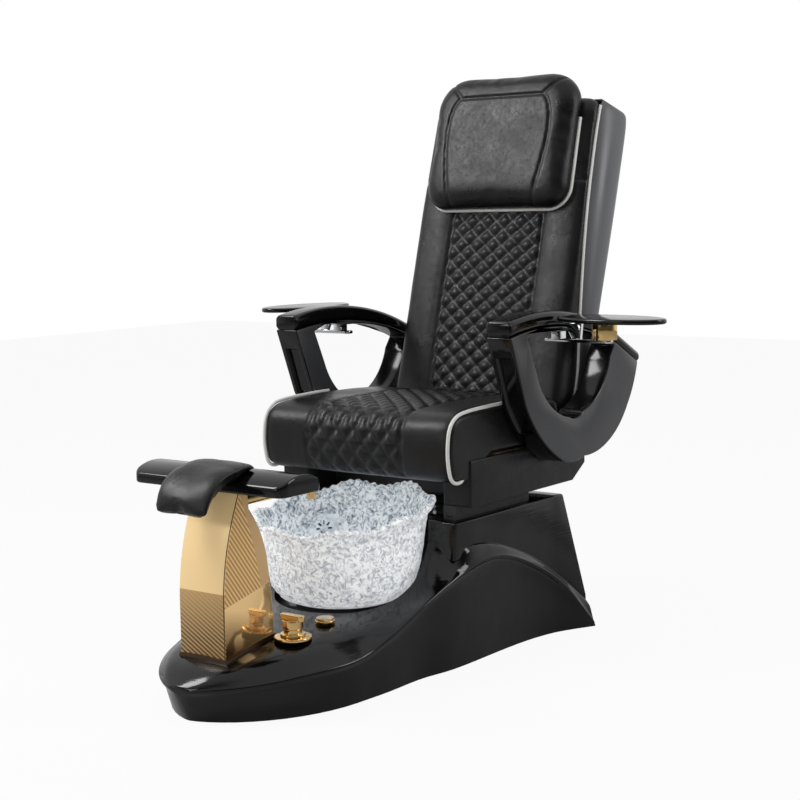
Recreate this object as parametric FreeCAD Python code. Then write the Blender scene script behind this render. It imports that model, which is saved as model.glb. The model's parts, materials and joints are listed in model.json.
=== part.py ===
"""Pedicure spa chair: glass foot bowl on a boat-shaped base, reclining seat, swivel trays."""
import FreeCAD, Part
import math
import os

V = FreeCAD.Vector

# Driving dimensions in mm: X across the chair, Y from the toes to the back, Z up from the floor.
clearance = 0.3
running_fit = 0.05

# Base shell, seen from above: rounded nose, then flanks given as (y, half-width) pairs
shell_wall = 5.0
nose_y = -610.0
flank_y = -266.0
nose_half_width = 238.0
nose_sharpness = 1.8
nose_fullness = 0.6
nose_undercut = 32.0
floor_inset = 18.0
pedestal_front_y = 50.0
base_rear_y = 572.0
rear_lean = 53.0
rim_flank = [(-266, 238), (-161, 252), (-60, 262), (50, 270), (200, 275), (360, 286), (480, 302), (572, 322)]
floor_flank = [(-266, 224), (-184, 230), (-56, 231), (50, 248), (272, 250), (360, 254), (430, 264), (480, 278), (572, 323)]

# Base shell, seen from the side: heights as (y, z) pairs
rim_height = [(-610, 75), (-500, 86), (-422, 94), (-266, 105), (-161, 143), (-60, 187), (50, 226), (130, 246),
              (200, 248), (272, 232), (360, 194), (430, 154), (480, 114), (572, 12)]
deck_height = [(-610, 78), (-525, 121), (-365, 148), (-240, 157), (-160, 162), (-60, 196), (0, 255), (50, 325)]
cove_height = [(50, 292), (130, 299), (200, 286), (272, 262), (360, 228), (430, 190), (480, 158), (572, 81)]
cove_half = [(50, 259), (360, 262), (430, 266), (480, 273), (572, 307)]
deck_shoulder = 0.72
deck_crown = 4.0
rim_depth = 9.0
pedestal_half = 260.0
pedestal_top = 346.0

# Foot bowl
bowl_y = -38.0
bowl_seat_z = 157.0
bowl_foot_r = 118.0
bowl_waist_r = 180.0
bowl_waist_z = 238.0
bowl_neck_r = 191.0
bowl_neck_z = 330.0
bowl_rim_r = 207.0
bowl_rim_z = 377.0
bowl_rim_rise = 27.0
bowl_wall = 7.0
bowl_lobes = 8
bowl_dip = 14.0
well_floor_r = 168.0
well_mouth_r = 204.0
well_shoulder_z = 215.0
drain_r = 20.0
gasket_t = 3.0

# Jet in the bowl's wall
jet_bearing = 148.0
jet_z = 296.0
jet_cover_r = 38.0
jet_cover_t = 16.0
jet_rotor_r = 24.0
jet_motor_r = 28.0
jet_motor_length = 62.0

# Gold column under the footrest
column_half = 66.0
column_top_z = 475.5
column_front = [(100, -525), (250, -524), (360, -509), (428, -488), (475.5, -469)]
column_rear = [(118, -370), (240, -376), (320, -386), (386, -406), (440, -440), (475.5, -443)]
column_wall = 3.0
column_trim_h = 10.0
column_trim_t = 3.0
mast_y = -457.0
mast_width = 44.0
mast_depth = 24.0
mast_wall = 3.0
mast_top_z = 438.0
post_foot_z = 210.0
footrest_lift = 80.0

# Footrest
bar_long_reach = 250.0
bar_short_reach = 190.0
bar_front_y = -475.0
bar_rear_y = -337.0
bar_bottom_z = 476.0
bar_side_z = 497.0
bar_top_z = 519.0
bar_end_r = 24.0
saddle_right_x = -95.0
saddle_left_x = 74.0
saddle_rear_y = -398.0
saddle_t = 15.0
saddle_hem_right_x = -72.0
saddle_hem_left_x = 70.0
saddle_hem = (-580.0, 440.0)
plate_t = 8.0
plate_half = 58.0
plate_front_y = -465.5
plate_rear_y = -447.5

# Mixer knob, button and water spout
knob_x = 115.0
knob_y = -365.0
knob_seat_z = 147.0
knob_flange_r = 42.0
knob_flange_t = 7.0
knob_body_r = 23.0
knob_height = 46.0
knob_wing = 32.0
button_x = 108.0
button_y = -247.0
button_seat_z = 158.0
button_r = 20.0
button_travel = 3.0
spout_r = 11.0
spout_z = 455.0

# Slide between pedestal and seat
rail_x = 222.0
rail_width = 34.0
rail_front_y = 78.0
rail_rear_y = 394.0
rail_height = 17.0
carriage_height = 17.0
seat_travel = 120.0

# Seat
seat_half = 285.0
seat_box_top = 490.0
seat_box_front_y = 76.0
seat_box_rear_y = 590.0
seat_box_wall = 12.0
seat_recess_y = 188.0
seat_recess_half = 206.0
seat_chamfer_y = 60.0
seat_chamfer_z = 38.0
cushion_half = 282.0
cushion_front_y = -6.0
cushion_rear_y = 474.0
cushion_top_z = 602.0
cushion_crown = 6.0
cushion_roll_z = 443.0
cushion_roll_y = 70.0
quilt_half = 140.0
quilt_width = 51.0
quilt_groove = 3.0
quilt_depth = 4.0
seat_quilt_length = 53.0
back_quilt_length = 43.0
piping_w = 8.0
piping_rear_y = 250.0

# Backrest, drawn upright about its pivot and then leaned back
pivot_y = 560.0
pivot_z = 470.0
back_lean = 15.7
pivot_r = 10.0
back_foot = 50.0
back_head = 885.0
back_front = -82.0
back_rear = -6.0
back_half_foot = 269.0
back_half_head = 247.0
back_crown = 7.0
back_edge_r = 20.0
back_step_y = -46.0
back_step = 6.0
back_shell_t = 4.0
back_shell_corner_r = 46.0
back_shell_depth = [(92, 60), (250, 78), (390, 91), (610, 109), (760, 118), (850, 122), (880, 119), (893, 109)]
frame_x = 196.0
frame_tube = 30.0
tube_wall = 2.5

# Pillow
pillow_foot = 588.0
pillow_head = 950.0
pillow_half = 215.0
pillow_t = 66.0
pillow_corner_r = 58.0
pillow_top_corner_r = 88.0
pillow_seam_inset = 52.0

# Massage carriage inside the back
roller_r = 26.0
massage_low = 330.0
massage_travel = 260.0
massage_rail_x = 96.0

# Arms
arm_inner_x = 287.0
arm_outer_x = 356.0
arm_bar_t = 37.0
arm_bar_rear_t = 29.0
arm_front = (142.0, 769.0)
arm_crown = (335.0, 784.0)
arm_knee = (631.0, 722.0)
arm_rear = (747.0, 663.0)
arm_channel_depth = 9.0
arm_channel_inset = 15.0

# Swivel trays
tray_post_x = 464.0
tray_post_y = 380.0
tray_post_r = 30.0
tray_post_foot_z = 752.0
tray_bottom_z = 799.0
tray_t = 12.0
tray_long_r = 150.0
tray_short_r = 78.0
tray_turn = -10.0
tray_along = 62.0
tray_across = -52.0
tray_right_swing = -105.0
spindle_r = 9.0
bracket_t = 8.0
bracket_w = 28.0
gusset_t = 12.0

# Fittings in and behind the base
pan_t = 4.0
upright_x = 220.0
bowl_post_x = 70.0
upright_front_y = 150.0
upright_rear_y = 440.0
stub_z = 58.0
stub_reach = 30.0
stub_length = 30.0
drain_foot_z = 112.0
pump_front_y = 180.0
pump_r = 38.0
supply_x = (94.0, 130.0)
supply_z = 95.0
supply_r = 6.5
inlet_x = -150.0
inlet_z = 80.0
hatch_half = 150.0
hatch_low = 160.0
hatch_high = 300.0
hatch_t = 4.0
boss_depth = 12.0
bowl_turn = 55.5
jet_pin_r = 3.0
pipe_r = 8.0
pipe_bend = 13.0
spout_x = 42.0
knob_stem_r = 12.0
knob_spindle_r = 6.0
bezel_r = 22.5
button_stem_r = 8.0
seat_box_bottom = pedestal_top + rail_height + carriage_height
screw_r = 6.0
screw_z = pedestal_top + 16.0
board_t = 12.0
cheek_x = 217.0
notch_z = 432.0
quilt_top = 640.0
frame_head = 850.0
massage_rod_r = 8.0
massage_rod_y = 42.0
roller_y = 22.0
arm_bar_chamfer = 8.0
bolt_y = (395.0, 445.0, 500.0)
bolt_z = 467.0

UP, BACK, RIGHT = (0, 0, 1), (0, 1, 0), (1, 0, 0)


# Helpers
def at(y, pairs):
    """Read a height or half-width at y from its list of pairs."""
    if y <= pairs[0][0]:
        return pairs[0][1]
    for (y0, v0), (y1, v1) in zip(pairs, pairs[1:]):
        if y <= y1:
            return v0 + (v1 - v0) * (y - y0) / (y1 - y0)
    return pairs[-1][1]


def box(x0, x1, y0, y1, z0, z1):
    return Part.makeBox(x1 - x0, y1 - y0, z1 - z0, V(x0, y0, z0))


def cylinder(r, start, along, length):
    return Part.makeCylinder(r, length, V(*start), V(*along))


def wire(steps, place):
    """Closed outline: a pair is a line's end, a foursome an arc's middle and end."""
    edges = []
    here = steps[0]
    for step in steps[1:]:
        end = step[-2:]
        if len(step) == 4:
            edges.append(Part.Arc(place(*here), place(*step[:2]), place(*end)).toShape())
        else:
            edges.append(Part.LineSegment(place(*here), place(*end)).toShape())
        here = end
    if place(*here).distanceToPoint(place(*steps[0])) > 1e-6:
        edges.append(Part.LineSegment(place(*here), place(*steps[0])).toShape())
    return Part.Wire(edges)


def wire_x(x, steps):
    return wire(steps, lambda y, z: V(x, y, z))


def wire_y(y, steps):
    return wire(steps, lambda x, z: V(x, y, z))


def wire_z(z, steps):
    return wire(steps, lambda x, y: V(x, y, z))


def slab_x(steps, x0, x1):
    return Part.Face(wire_x(x0, steps)).extrude(V(x1 - x0, 0, 0))


def slab_y(steps, y0, y1):
    return Part.Face(wire_y(y0, steps)).extrude(V(0, y1 - y0, 0))


def slab_z(steps, z0, z1):
    return Part.Face(wire_z(z0, steps)).extrude(V(0, 0, z1 - z0))


def rounded(x0, x1, y0, y1, r, far_r=None):
    """Steps of a rectangle with round corners; the far pair can have a radius of its own."""
    f = far_r or r
    k, j = r * (1 - math.sqrt(0.5)), f * (1 - math.sqrt(0.5))
    return [(x0 + r, y0), (x1 - r, y0), (x1 - k, y0 + k, x1, y0 + r), (x1, y1 - f), (x1 - j, y1 - j, x1 - f, y1),
            (x0 + f, y1), (x0 + j, y1 - j, x0, y1 - f), (x0, y0 + r), (x0 + k, y0 + k, x0 + r, y0)]


def tube(x0, x1, y0, y1, z0, z1, along):
    """Square tube, hollow along the named axis."""
    w = tube_wall
    inner = {"x": (x0 - 1, x1 + 1, y0 + w, y1 - w, z0 + w, z1 - w),
             "y": (x0 + w, x1 - w, y0 - 1, y1 + 1, z0 + w, z1 - w),
             "z": (x0 + w, x1 - w, y0 + w, y1 - w, z0 - 1, z1 + 1)}[along]
    return box(x0, x1, y0, y1, z0, z1).cut(box(*inner))


def mirrored(shape):
    return shape.mirror(V(0, 0, 0), V(1, 0, 0))


def both(shape):
    return Part.makeCompound([shape, mirrored(shape)])


def joined(first, *others):
    return first.fuse(list(others)).removeSplitter()


def leaned(shape):
    """Place a piece drawn upright about the pivot at the back's rest angle."""
    placed = shape.copy()
    placed.translate(V(0, pivot_y, pivot_z))
    placed.rotate(V(0, pivot_y, pivot_z), V(1, 0, 0), -back_lean)
    return placed


# Base shell
def rim_half(y):
    if y >= flank_y:
        return at(y, rim_flank)
    t = (flank_y - y) / (flank_y - nose_y)
    return nose_half_width * (1 - t ** nose_sharpness) ** nose_fullness


def floor_half(y):
    if y >= flank_y:
        return at(y, floor_flank)
    return rim_half(y) - floor_inset * (flank_y - y) / (flank_y - nose_y) - (rim_flank[0][1] - floor_flank[0][1]) * (
        y - nose_y) / (flank_y - nose_y)


def section(points, inset, plane_y):
    """Closed symmetric outline across the base, drawn in by inset; plane_y gives y at a height."""
    heights = [z - inset for x, z in points[:-2]] + [-2 * inset, -2 * inset]
    half = [V(x - inset if x else 0, plane_y(z), z) for (x, z_full), z in zip(points, heights)]
    other = [V(-p.x, p.y, p.z) for p in reversed(half) if p.x]
    return Part.makePolygon(half + other + [half[0]])


def front_hull(inset):
    """Nose and deck, up to the pedestal's front."""
    stations = [nose_y + 4 + inset, -596, -570, -530, -470, -400, -330, flank_y, -215, -161, -110, -60, 0,
                pedestal_front_y]
    if inset:
        stations.append(pedestal_front_y + 3 * inset)
    wires = []
    for y in stations:
        shift = nose_undercut * (max(flank_y - y, 0) / (flank_y - nose_y)) ** 2
        z_rim = at(y, rim_height)
        z_deck = at(y, deck_height)
        x_rim = rim_half(y)
        x_floor = floor_half(y)
        points = [(0, z_deck), (deck_shoulder * x_rim, z_deck - deck_crown), (x_rim, z_rim),
                  (x_rim, z_rim - rim_depth), (x_floor + 4, z_rim - 2 * rim_depth), (x_floor, 0), (0, 0)]
        wires.append(section(points, inset, lambda z: y + shift * (1 - z / z_rim)))
    return Part.makeLoft(wires, True, True)


def rear_hull(inset):
    """Pedestal with its cove, lip and recessed flank, ending in the leaning rear wall."""
    stations = [pedestal_front_y + inset, 130, 200, 272, 360, 430, 480, base_rear_y - inset]
    wires = []
    for y in stations:
        lean = rear_lean if y == stations[-1] else 0
        z_rim = at(y, rim_height)
        x_rim = at(y, rim_flank)
        x_floor = at(y, floor_flank)
        drop = min(rim_depth, 0.3 * z_rim)
        points = [(0, pedestal_top), (pedestal_half, pedestal_top), (at(y, cove_half), at(y, cove_height)),
                  (x_rim, z_rim), (x_rim, z_rim - drop), (min(x_floor + 6, x_rim - 0.5), z_rim - 1.6 * drop),
                  (x_floor, 0), (0, 0)]
        wires.append(section(points, inset, lambda z: y - lean * z / pedestal_top))
    return Part.makeLoft(wires, True, True)


def hull(inset):
    return joined(front_hull(inset), rear_hull(inset))


def well(grow):
    """Space around the bowl: flat floor, flared wall, open at the top."""
    floor_z = bowl_seat_z - grow
    steps = [(0, floor_z), (well_floor_r + grow, floor_z), (well_mouth_r - 10 + grow, well_shoulder_z),
             (well_mouth_r + grow, pedestal_top + 60), (0, pedestal_top + 60)]
    round_space = Part.Face(wire(steps, lambda r, z: V(r, bowl_y, z))).revolve(V(0, bowl_y, 0), V(0, 0, 1), 360)
    return round_space


def base_shell():
    """Moulded casing with bores for what passes through it."""
    outer = hull(0).cut(well(0))
    shell = outer.cut(hull(shell_wall).cut(well(shell_wall)))
    for x, y, z, r in ((knob_x, knob_y, knob_seat_z, knob_flange_r + 3), (button_x, button_y, button_seat_z, bezel_r + 3)):
        shell = shell.cut(cylinder(r, (x, y, z), UP, boss_depth)).fuse(cylinder(r, (x, y, z - boss_depth), UP, boss_depth))
    bores = [cylinder(knob_stem_r + clearance, (knob_x, knob_y, knob_seat_z - 2 * boss_depth), UP, 3 * boss_depth),
             cylinder(button_stem_r + running_fit, (button_x, button_y, button_seat_z - 2 * boss_depth), UP, 3 * boss_depth),
             cylinder(drain_r + clearance, (0, bowl_y, bowl_seat_z - 2 * shell_wall), UP, 3 * shell_wall),
             cylinder(drain_r + clearance, (0, base_rear_y - 60, stub_z), BACK, 80),
             mast_space(clearance, mast_top_z),
             spout_riser(clearance),
             jet_aimed(cylinder(jet_motor_r + clearance, (0, 0, 0), RIGHT, well_mouth_r + 30).cut(
                 cylinder(jet_motor_r + 1, (0, 0, 0), RIGHT, bowl_neck_r - 30))),
             hatch(hatch_half - 12, hatch_low + 12, hatch_high - 12, -20, 20),
             box(inlet_x - 24 - clearance, inlet_x + 24 + clearance, base_rear_y - 80, base_rear_y + 10,
                 inlet_z - 14 - clearance, inlet_z + 14 + clearance)]
    bores += [cylinder(supply_r + 4 + clearance, (x, base_rear_y - 60, supply_z), BACK, 80) for x in supply_x]
    return shell.cut(bores)


def hatch(half, low, high, inside, outside):
    """Piece of the leaning rear wall's thickness, between two heights."""
    def wall_y(z):
        return base_rear_y - rear_lean * z / pedestal_top
    steps = [(wall_y(low) + inside, low), (wall_y(low) + outside, low), (wall_y(high) + outside, high),
             (wall_y(high) + inside, high)]
    return slab_x(steps, -half, half)


def rear_access_panel():
    panel = hatch(hatch_half, hatch_low, hatch_high, 0, hatch_t)
    grille = [hatch(hatch_half - 40, z, z + 6, -5, hatch_t + 5) for z in (hatch_low + 40, hatch_low + 56, hatch_low + 72)]
    return panel.cut(grille)


def panel_screws():
    def screw(x, z):
        y = base_rear_y - rear_lean * z / pedestal_top
        return cylinder(5, (x, y + hatch_t, z), BACK, 2.5).fuse(cylinder(2, (x, y - 8, z), BACK, 10)).cut(
            hatch(hatch_half, hatch_low, hatch_high, -30, hatch_t))
    return Part.makeCompound([screw(x, z) for x in (-hatch_half + 7, hatch_half - 7) for z in (hatch_low + 7, hatch_high - 7)])


def floor_pan():
    return hull(shell_wall + clearance).common(box(-400, 400, -700, 700, 0, pan_t))


def base_frame():
    """Welded square tube: spine, rails, cross members, pedestal uprights and bowl posts."""
    z0, z1 = pan_t, pan_t + frame_tube
    members = [tube(side * 175 - 15, side * 175 + 15, -330, 480, z0, z1, "y") for side in (-1, 1)]
    members += [tube(-15, 15, mast_y - 15, 170, z0, z1, "y")]
    for y, half in ((-330, 190), (bowl_y - 15, 190), (upright_front_y, upright_x + 15), (upright_rear_y, upright_x + 15)):
        members.append(tube(-half, half, y, y + frame_tube, z0, z1, "x"))
    for side in (-1, 1):
        for y in (upright_front_y, upright_rear_y):
            members.append(tube(side * upright_x - 15, side * upright_x + 15, y, y + frame_tube, z1,
                                pedestal_top - shell_wall, "z"))
        members.append(tube(side * bowl_post_x - 15, side * bowl_post_x + 15, bowl_y - 15, bowl_y + 15, z1,
                            bowl_seat_z - shell_wall, "z"))
    return members[0].fuse(members[1:])


# Foot bowl with its drain and jet
def bowl_point(r, z):
    return V(r, bowl_y, z)


def rim_z(y):
    """Height of the rim's crests, which rise towards the seat."""
    return bowl_rim_z + bowl_rim_rise * (y - bowl_y) / bowl_rim_r


def glass_bowl():
    """Blown bowl with a slanted rim in shallow waves."""
    foot_z = bowl_seat_z + gasket_t
    crest_z = bowl_rim_z + bowl_rim_rise
    t = bowl_wall
    steps = [(0, foot_z), (bowl_foot_r, foot_z), (bowl_waist_r - 16, foot_z + 30, bowl_waist_r, bowl_waist_z),
             (bowl_neck_r, bowl_neck_z), (bowl_neck_r + 5, bowl_neck_z + 38, bowl_rim_r, crest_z),
             (bowl_rim_r - t, crest_z), (bowl_neck_r - t + 4, bowl_neck_z + 38, bowl_neck_r - t, bowl_neck_z),
             (bowl_waist_r - t, bowl_waist_z), (bowl_waist_r - 16 - t, foot_z + 30 + t, bowl_foot_r - t, foot_z + t),
             (0, foot_z + t)]
    bowl = Part.Face(wire(steps, bowl_point)).revolve(V(0, bowl_y, 0), V(0, 0, 1), 360)
    y0, y1, top = bowl_y - 260, bowl_y + 260, crest_z + 60
    bowl = bowl.cut(slab_x([(y0, rim_z(y0)), (y1, rim_z(y1)), (y1, top), (y0, top)], -260, 260))
    half_chord = math.pi * bowl_rim_r / bowl_lobes * 0.7
    dip_r = (half_chord ** 2 + bowl_dip ** 2) / (2 * bowl_dip)
    for lobe in range(bowl_lobes):
        a = math.radians(bowl_turn + lobe * 360 / bowl_lobes)
        crest = rim_z(bowl_y + bowl_rim_r * math.sin(a))
        bowl = bowl.cut(cylinder(dip_r, (0, bowl_y, crest - bowl_dip + dip_r), (math.cos(a), math.sin(a), 0), 260))
    return bowl.cut(cylinder(drain_r + clearance, (0, bowl_y, bowl_seat_z), UP, 3 * t))


def bowl_gasket():
    return cylinder(bowl_foot_r - 2, (0, bowl_y, bowl_seat_z), UP, gasket_t).cut(
        cylinder(bowl_foot_r - 18, (0, bowl_y, bowl_seat_z), UP, gasket_t))


def drain_fitting():
    """Strainer flange over the glass, tailpiece and lock nut under the deck."""
    top = bowl_seat_z + gasket_t + bowl_wall
    under = bowl_seat_z - shell_wall
    body = joined(cylinder(drain_r + 10, (0, bowl_y, top), UP, 3), cylinder(drain_r, (0, bowl_y, drain_foot_z), UP, top - drain_foot_z))
    body = body.cut(cylinder(drain_r - 4, (0, bowl_y, drain_foot_z - 1), UP, top - drain_foot_z - 1))
    holes = [cylinder(3, (9 * math.cos(a), bowl_y + 9 * math.sin(a), top - 10), UP, 20)
             for a in (math.radians(60 * k) for k in range(6))]
    nut = cylinder(drain_r + 12, (0, bowl_y, under - 12), UP, 12).cut(cylinder(drain_r, (0, bowl_y, under - 12), UP, 12))
    return body.cut(holes).fuse(nut)


def drain_pipe():
    """Waste pipe from the tailpiece, through one elbow, to the pump."""
    bend = 34.0
    low = V(0, bowl_y, stub_z + bend)
    path = Part.Wire([Part.LineSegment(V(0, bowl_y, drain_foot_z), low).toShape(),
                      Part.Arc(low, V(0, bowl_y + bend * (1 - math.sqrt(0.5)), stub_z + bend * (1 - math.sqrt(0.5))),
                               V(0, bowl_y + bend, stub_z)).toShape(),
                      Part.LineSegment(V(0, bowl_y + bend, stub_z), V(0, pump_front_y, stub_z)).toShape()])
    rings = [Part.Wire(Part.makeCircle(r, V(0, bowl_y, drain_foot_z), V(0, 0, -1))) for r in (drain_r - 1, drain_r - 4)]
    outer, inner = [path.makePipeShell([ring], True, False) for ring in rings]
    return outer.cut(inner)


def drain_pump():
    y = pump_front_y
    body = joined(cylinder(pump_r, (0, y, stub_z), BACK, 70), cylinder(pump_r - 10, (0, y + 70, stub_z), BACK, 50),
                  box(-24, 24, y + 8, y + 62, pan_t, stub_z - pump_r + 6))
    return body


def drain_outlet():
    y = pump_front_y + 120
    end = base_rear_y + stub_reach
    return joined(cylinder(drain_r - 1, (0, y, stub_z), BACK, end - y),
                  cylinder(drain_r, (0, end - stub_length, stub_z), BACK, stub_length)).cut(
        cylinder(drain_r - 3, (0, y, stub_z), BACK, end - y))


def jet_aimed(shape):
    """Turn a piece drawn along +X towards the jet's place in the bowl."""
    placed = shape.copy()
    placed.rotate(V(0, 0, 0), V(0, 0, 1), jet_bearing)
    placed.translate(V(0, bowl_y, jet_z))
    return placed


def glass_r(z):
    """Outer radius of the bowl between waist and neck."""
    return bowl_waist_r + (bowl_neck_r - bowl_waist_r) * (z - bowl_waist_z) / (bowl_neck_z - bowl_waist_z)


jet_back_x = glass_r(jet_z - jet_cover_r) - bowl_wall - 6


def jet_cover():
    x0 = jet_back_x - jet_cover_t
    cover = joined(cylinder(jet_cover_r, (x0, 0, 0), RIGHT, jet_cover_t),
                   cylinder(14, (jet_back_x, 0, 0), RIGHT, glass_r(jet_z) - bowl_wall / 2 - jet_back_x))
    cover = cover.cut(cylinder(jet_rotor_r + 2, (x0 + 2.5, 0, 0), RIGHT, jet_cover_t - 5))
    slots = []
    for k in range(8):
        slot = box(x0 - 1, x0 + 4, -2, 2, 10, 20)
        slot.rotate(V(0, 0, 0), V(1, 0, 0), 45 * k)
        slots.append(slot)
    pin = cylinder(jet_pin_r, (x0 + 2.5, 0, 0), RIGHT, jet_cover_t - 5)
    return jet_aimed(cover.cut(slots).fuse(pin)).cut(glass_bowl())


def jet_impeller():
    x0 = jet_back_x - jet_cover_t + 3.5
    length = jet_cover_t - 7
    rotor = cylinder(9, (x0, 0, 0), RIGHT, length)
    blades = []
    for k in range(6):
        blade = box(x0, x0 + length, -1.5, 1.5, 6, jet_rotor_r)
        blade.rotate(V(0, 0, 0), V(1, 0, 0), 60 * k)
        blades.append(blade)
    return jet_aimed(rotor.fuse(blades).cut(cylinder(jet_pin_r + running_fit, (x0 - 1, 0, 0), RIGHT, length + 2)))


def jet_motor():
    x0 = glass_r(jet_z + jet_motor_r) + clearance
    return jet_aimed(joined(cylinder(jet_motor_r, (x0, 0, 0), RIGHT, jet_motor_length),
                            cylinder(8, (x0 + jet_motor_length, 0, 0), RIGHT, 10)))


# Services in the base
def control_box():
    x0, x1, y0, y1, z0, z1 = -150, -45, 240, 400, pan_t, 92
    lid = box(x0 - 3, x1 + 3, y0 - 3, y1 + 3, z1, z1 + 4)
    return joined(box(x0, x1, y0, y1, z0, z1).cut(box(x0 + 3, x1 - 3, y0 + 3, y1 - 3, z0 + 3, z1 - 3)), lid)


def power_inlet():
    """Appliance inlet in the rear wall: bezel, shell and three blades."""
    y1 = base_rear_y - rear_lean * (inlet_z - 14) / pedestal_top + 2
    body = box(inlet_x - 24, inlet_x + 24, y1 - 34, y1, inlet_z - 14, inlet_z + 14).cut(
        box(inlet_x - 12, inlet_x + 12, y1 - 18, y1 + 1, inlet_z - 8, inlet_z + 8))
    blades = [box(inlet_x + dx - 1, inlet_x + dx + 1, y1 - 20, y1 - 4, inlet_z + dz - 3, inlet_z + dz + 3)
              for dx, dz in ((-7, -2), (0, 2), (7, -2))]
    return body.fuse(blades)


def mixer_valve():
    """Valve block under the deck with a neck through it; the knob turns on the neck's spindle."""
    top = supply_z + 18
    block = box(supply_x[0] - 16, supply_x[1] + 16, knob_y - 20, knob_y + 20, supply_z - 18, top)
    neck = cylinder(knob_stem_r, (knob_x, knob_y, top), UP, knob_seat_z + 5 - top)
    spindle = cylinder(knob_spindle_r, (knob_x, knob_y, knob_seat_z), UP, knob_height * 0.6)
    return joined(block, neck, spindle)


def supply_pipes():
    """Hot and cold pipes along the base, each ending in a threaded stub behind it."""
    pipes = []
    for x in supply_x:
        y0 = knob_y + 20
        y1 = base_rear_y + stub_reach
        pipe = joined(cylinder(supply_r, (x, y0, supply_z), BACK, y1 - stub_length - y0),
                      cylinder(supply_r + 4, (x, y1 - stub_length, supply_z), BACK, stub_length))
        pipes.append(pipe.cut(cylinder(supply_r - 2, (x, y0, supply_z), BACK, y1 - y0)))
    return Part.makeCompound(pipes)


def bent_tube(points, bend, r, bore):
    """Round tube through points with quarter bends."""
    edges = []
    here = points[0]
    for i in range(1, len(points) - 1):
        into = (points[i] - points[i - 1]).normalize()
        out = (points[i + 1] - points[i]).normalize()
        start = points[i] - into * bend
        end = points[i] + out * bend
        middle = points[i] + (out - into) * bend * (1 - math.sqrt(0.5))
        edges.append(Part.LineSegment(here, start).toShape())
        edges.append(Part.Arc(start, middle, end).toShape())
        here = end
    edges.append(Part.LineSegment(here, points[-1]).toShape())
    path = Part.Wire(edges)
    first = points[1] - points[0]
    outer = path.makePipeShell([Part.Wire(Part.makeCircle(r, points[0], first))], True, False)
    return outer.cut(path.makePipeShell([Part.Wire(Part.makeCircle(bore, points[0], first))], True, False)) if bore else outer


def spout_pipe():
    """Mixed water, from the valve up inside the gold column."""
    return bent_tube([V(supply_x[0] - 16, knob_y, supply_z), V(spout_x, knob_y, supply_z), V(spout_x, mast_y, supply_z),
                      V(spout_x, mast_y, spout_z), V(spout_x, spout_wall_y() - column_wall / 2, spout_z)], pipe_bend, pipe_r, pipe_r - 1.5)


def spout_riser(grow):
    return cylinder(pipe_r + grow, (spout_x, mast_y, supply_z), UP, 80)


def spout_wall_y():
    """Where the column's rear wall stands at the spout's height."""
    return at(spout_z, column_rear)


def water_spout():
    y = spout_wall_y()
    tip = bowl_y - bowl_neck_r + 24
    spout = bent_tube([V(spout_x, y - column_wall, spout_z), V(spout_x, tip, spout_z), V(spout_x, tip, spout_z - 30)],
                      20, spout_r, 0)
    return spout.cut(bent_tube([V(spout_x, y - column_wall, spout_z), V(spout_x, tip, spout_z), V(spout_x, tip, spout_z - 31)],
                               20, spout_r - 3, 0)).cut(column_block(0))


# Gold column and footrest
def column_block(inset):
    """Outer form of the column, from below the deck to its top."""
    z0 = column_front[0][0]
    front = [(y + inset, z) for z, y in column_front]
    rear = [(y - inset, z) for z, y in column_rear]
    steps = [front[0], front[1], front[2] + front[3], front[4], rear[5], rear[4], rear[3] + rear[2], rear[1] + rear[0],
             (rear[0][0], z0)]
    return slab_x(steps, -column_half + inset, column_half - inset)


def column_shell():
    """Mirror-gold cover round the lift mast, trimmed to the deck."""
    shell = column_block(0).cut(column_block(column_wall)).cut(hull(0))
    return shell.cut([cylinder(pipe_r + 1, (spout_x, mast_y, spout_z), BACK, 60), column_trim_ring()])


def column_trim_ring():
    """Band over the deck, round the column's foot."""
    band = column_block(-column_trim_t).cut(column_block(0))
    lifted = hull(0)
    lifted.translate(V(0, 0, column_trim_h))
    return band.common(lifted).cut(hull(0))


def mast_space(grow, top):
    return box(-mast_width / 2 - grow, mast_width / 2 + grow, mast_y - mast_depth / 2 - grow,
               mast_y + mast_depth / 2 + grow, pan_t + frame_tube, top)


def post_space(grow, top):
    x = mast_width / 2 - mast_wall - clearance + grow
    y = mast_depth / 2 - mast_wall - clearance + grow
    return box(-x, x, mast_y - y, mast_y + y, post_foot_z, top)


def lift_mast():
    """Fixed outer tube with the guide collar at its top."""
    w = mast_wall
    hollow = box(-mast_width / 2 + w, mast_width / 2 - w, mast_y - mast_depth / 2 + w, mast_y + mast_depth / 2 - w,
                 pan_t + frame_tube, mast_top_z)
    return mast_space(0, mast_top_z).cut(hollow)


def footrest_post():
    plate = box(-plate_half, plate_half, plate_front_y, plate_rear_y, bar_bottom_z - plate_t, bar_bottom_z)
    return joined(post_space(0, bar_bottom_z - plate_t), plate)


def footrest_bar():
    middle_y = (bar_front_y + bar_rear_y) / 2
    steps = [(bar_front_y, bar_bottom_z), (bar_rear_y, bar_bottom_z), (bar_rear_y, bar_side_z),
             (middle_y, bar_top_z, bar_front_y, bar_side_z)]
    plan = rounded(-bar_long_reach, bar_short_reach, bar_front_y, bar_rear_y, bar_end_r)
    return slab_x(steps, -bar_long_reach - 5, bar_short_reach + 5).common(slab_z(plan, bar_bottom_z - 5, bar_top_z + 5))


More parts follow.
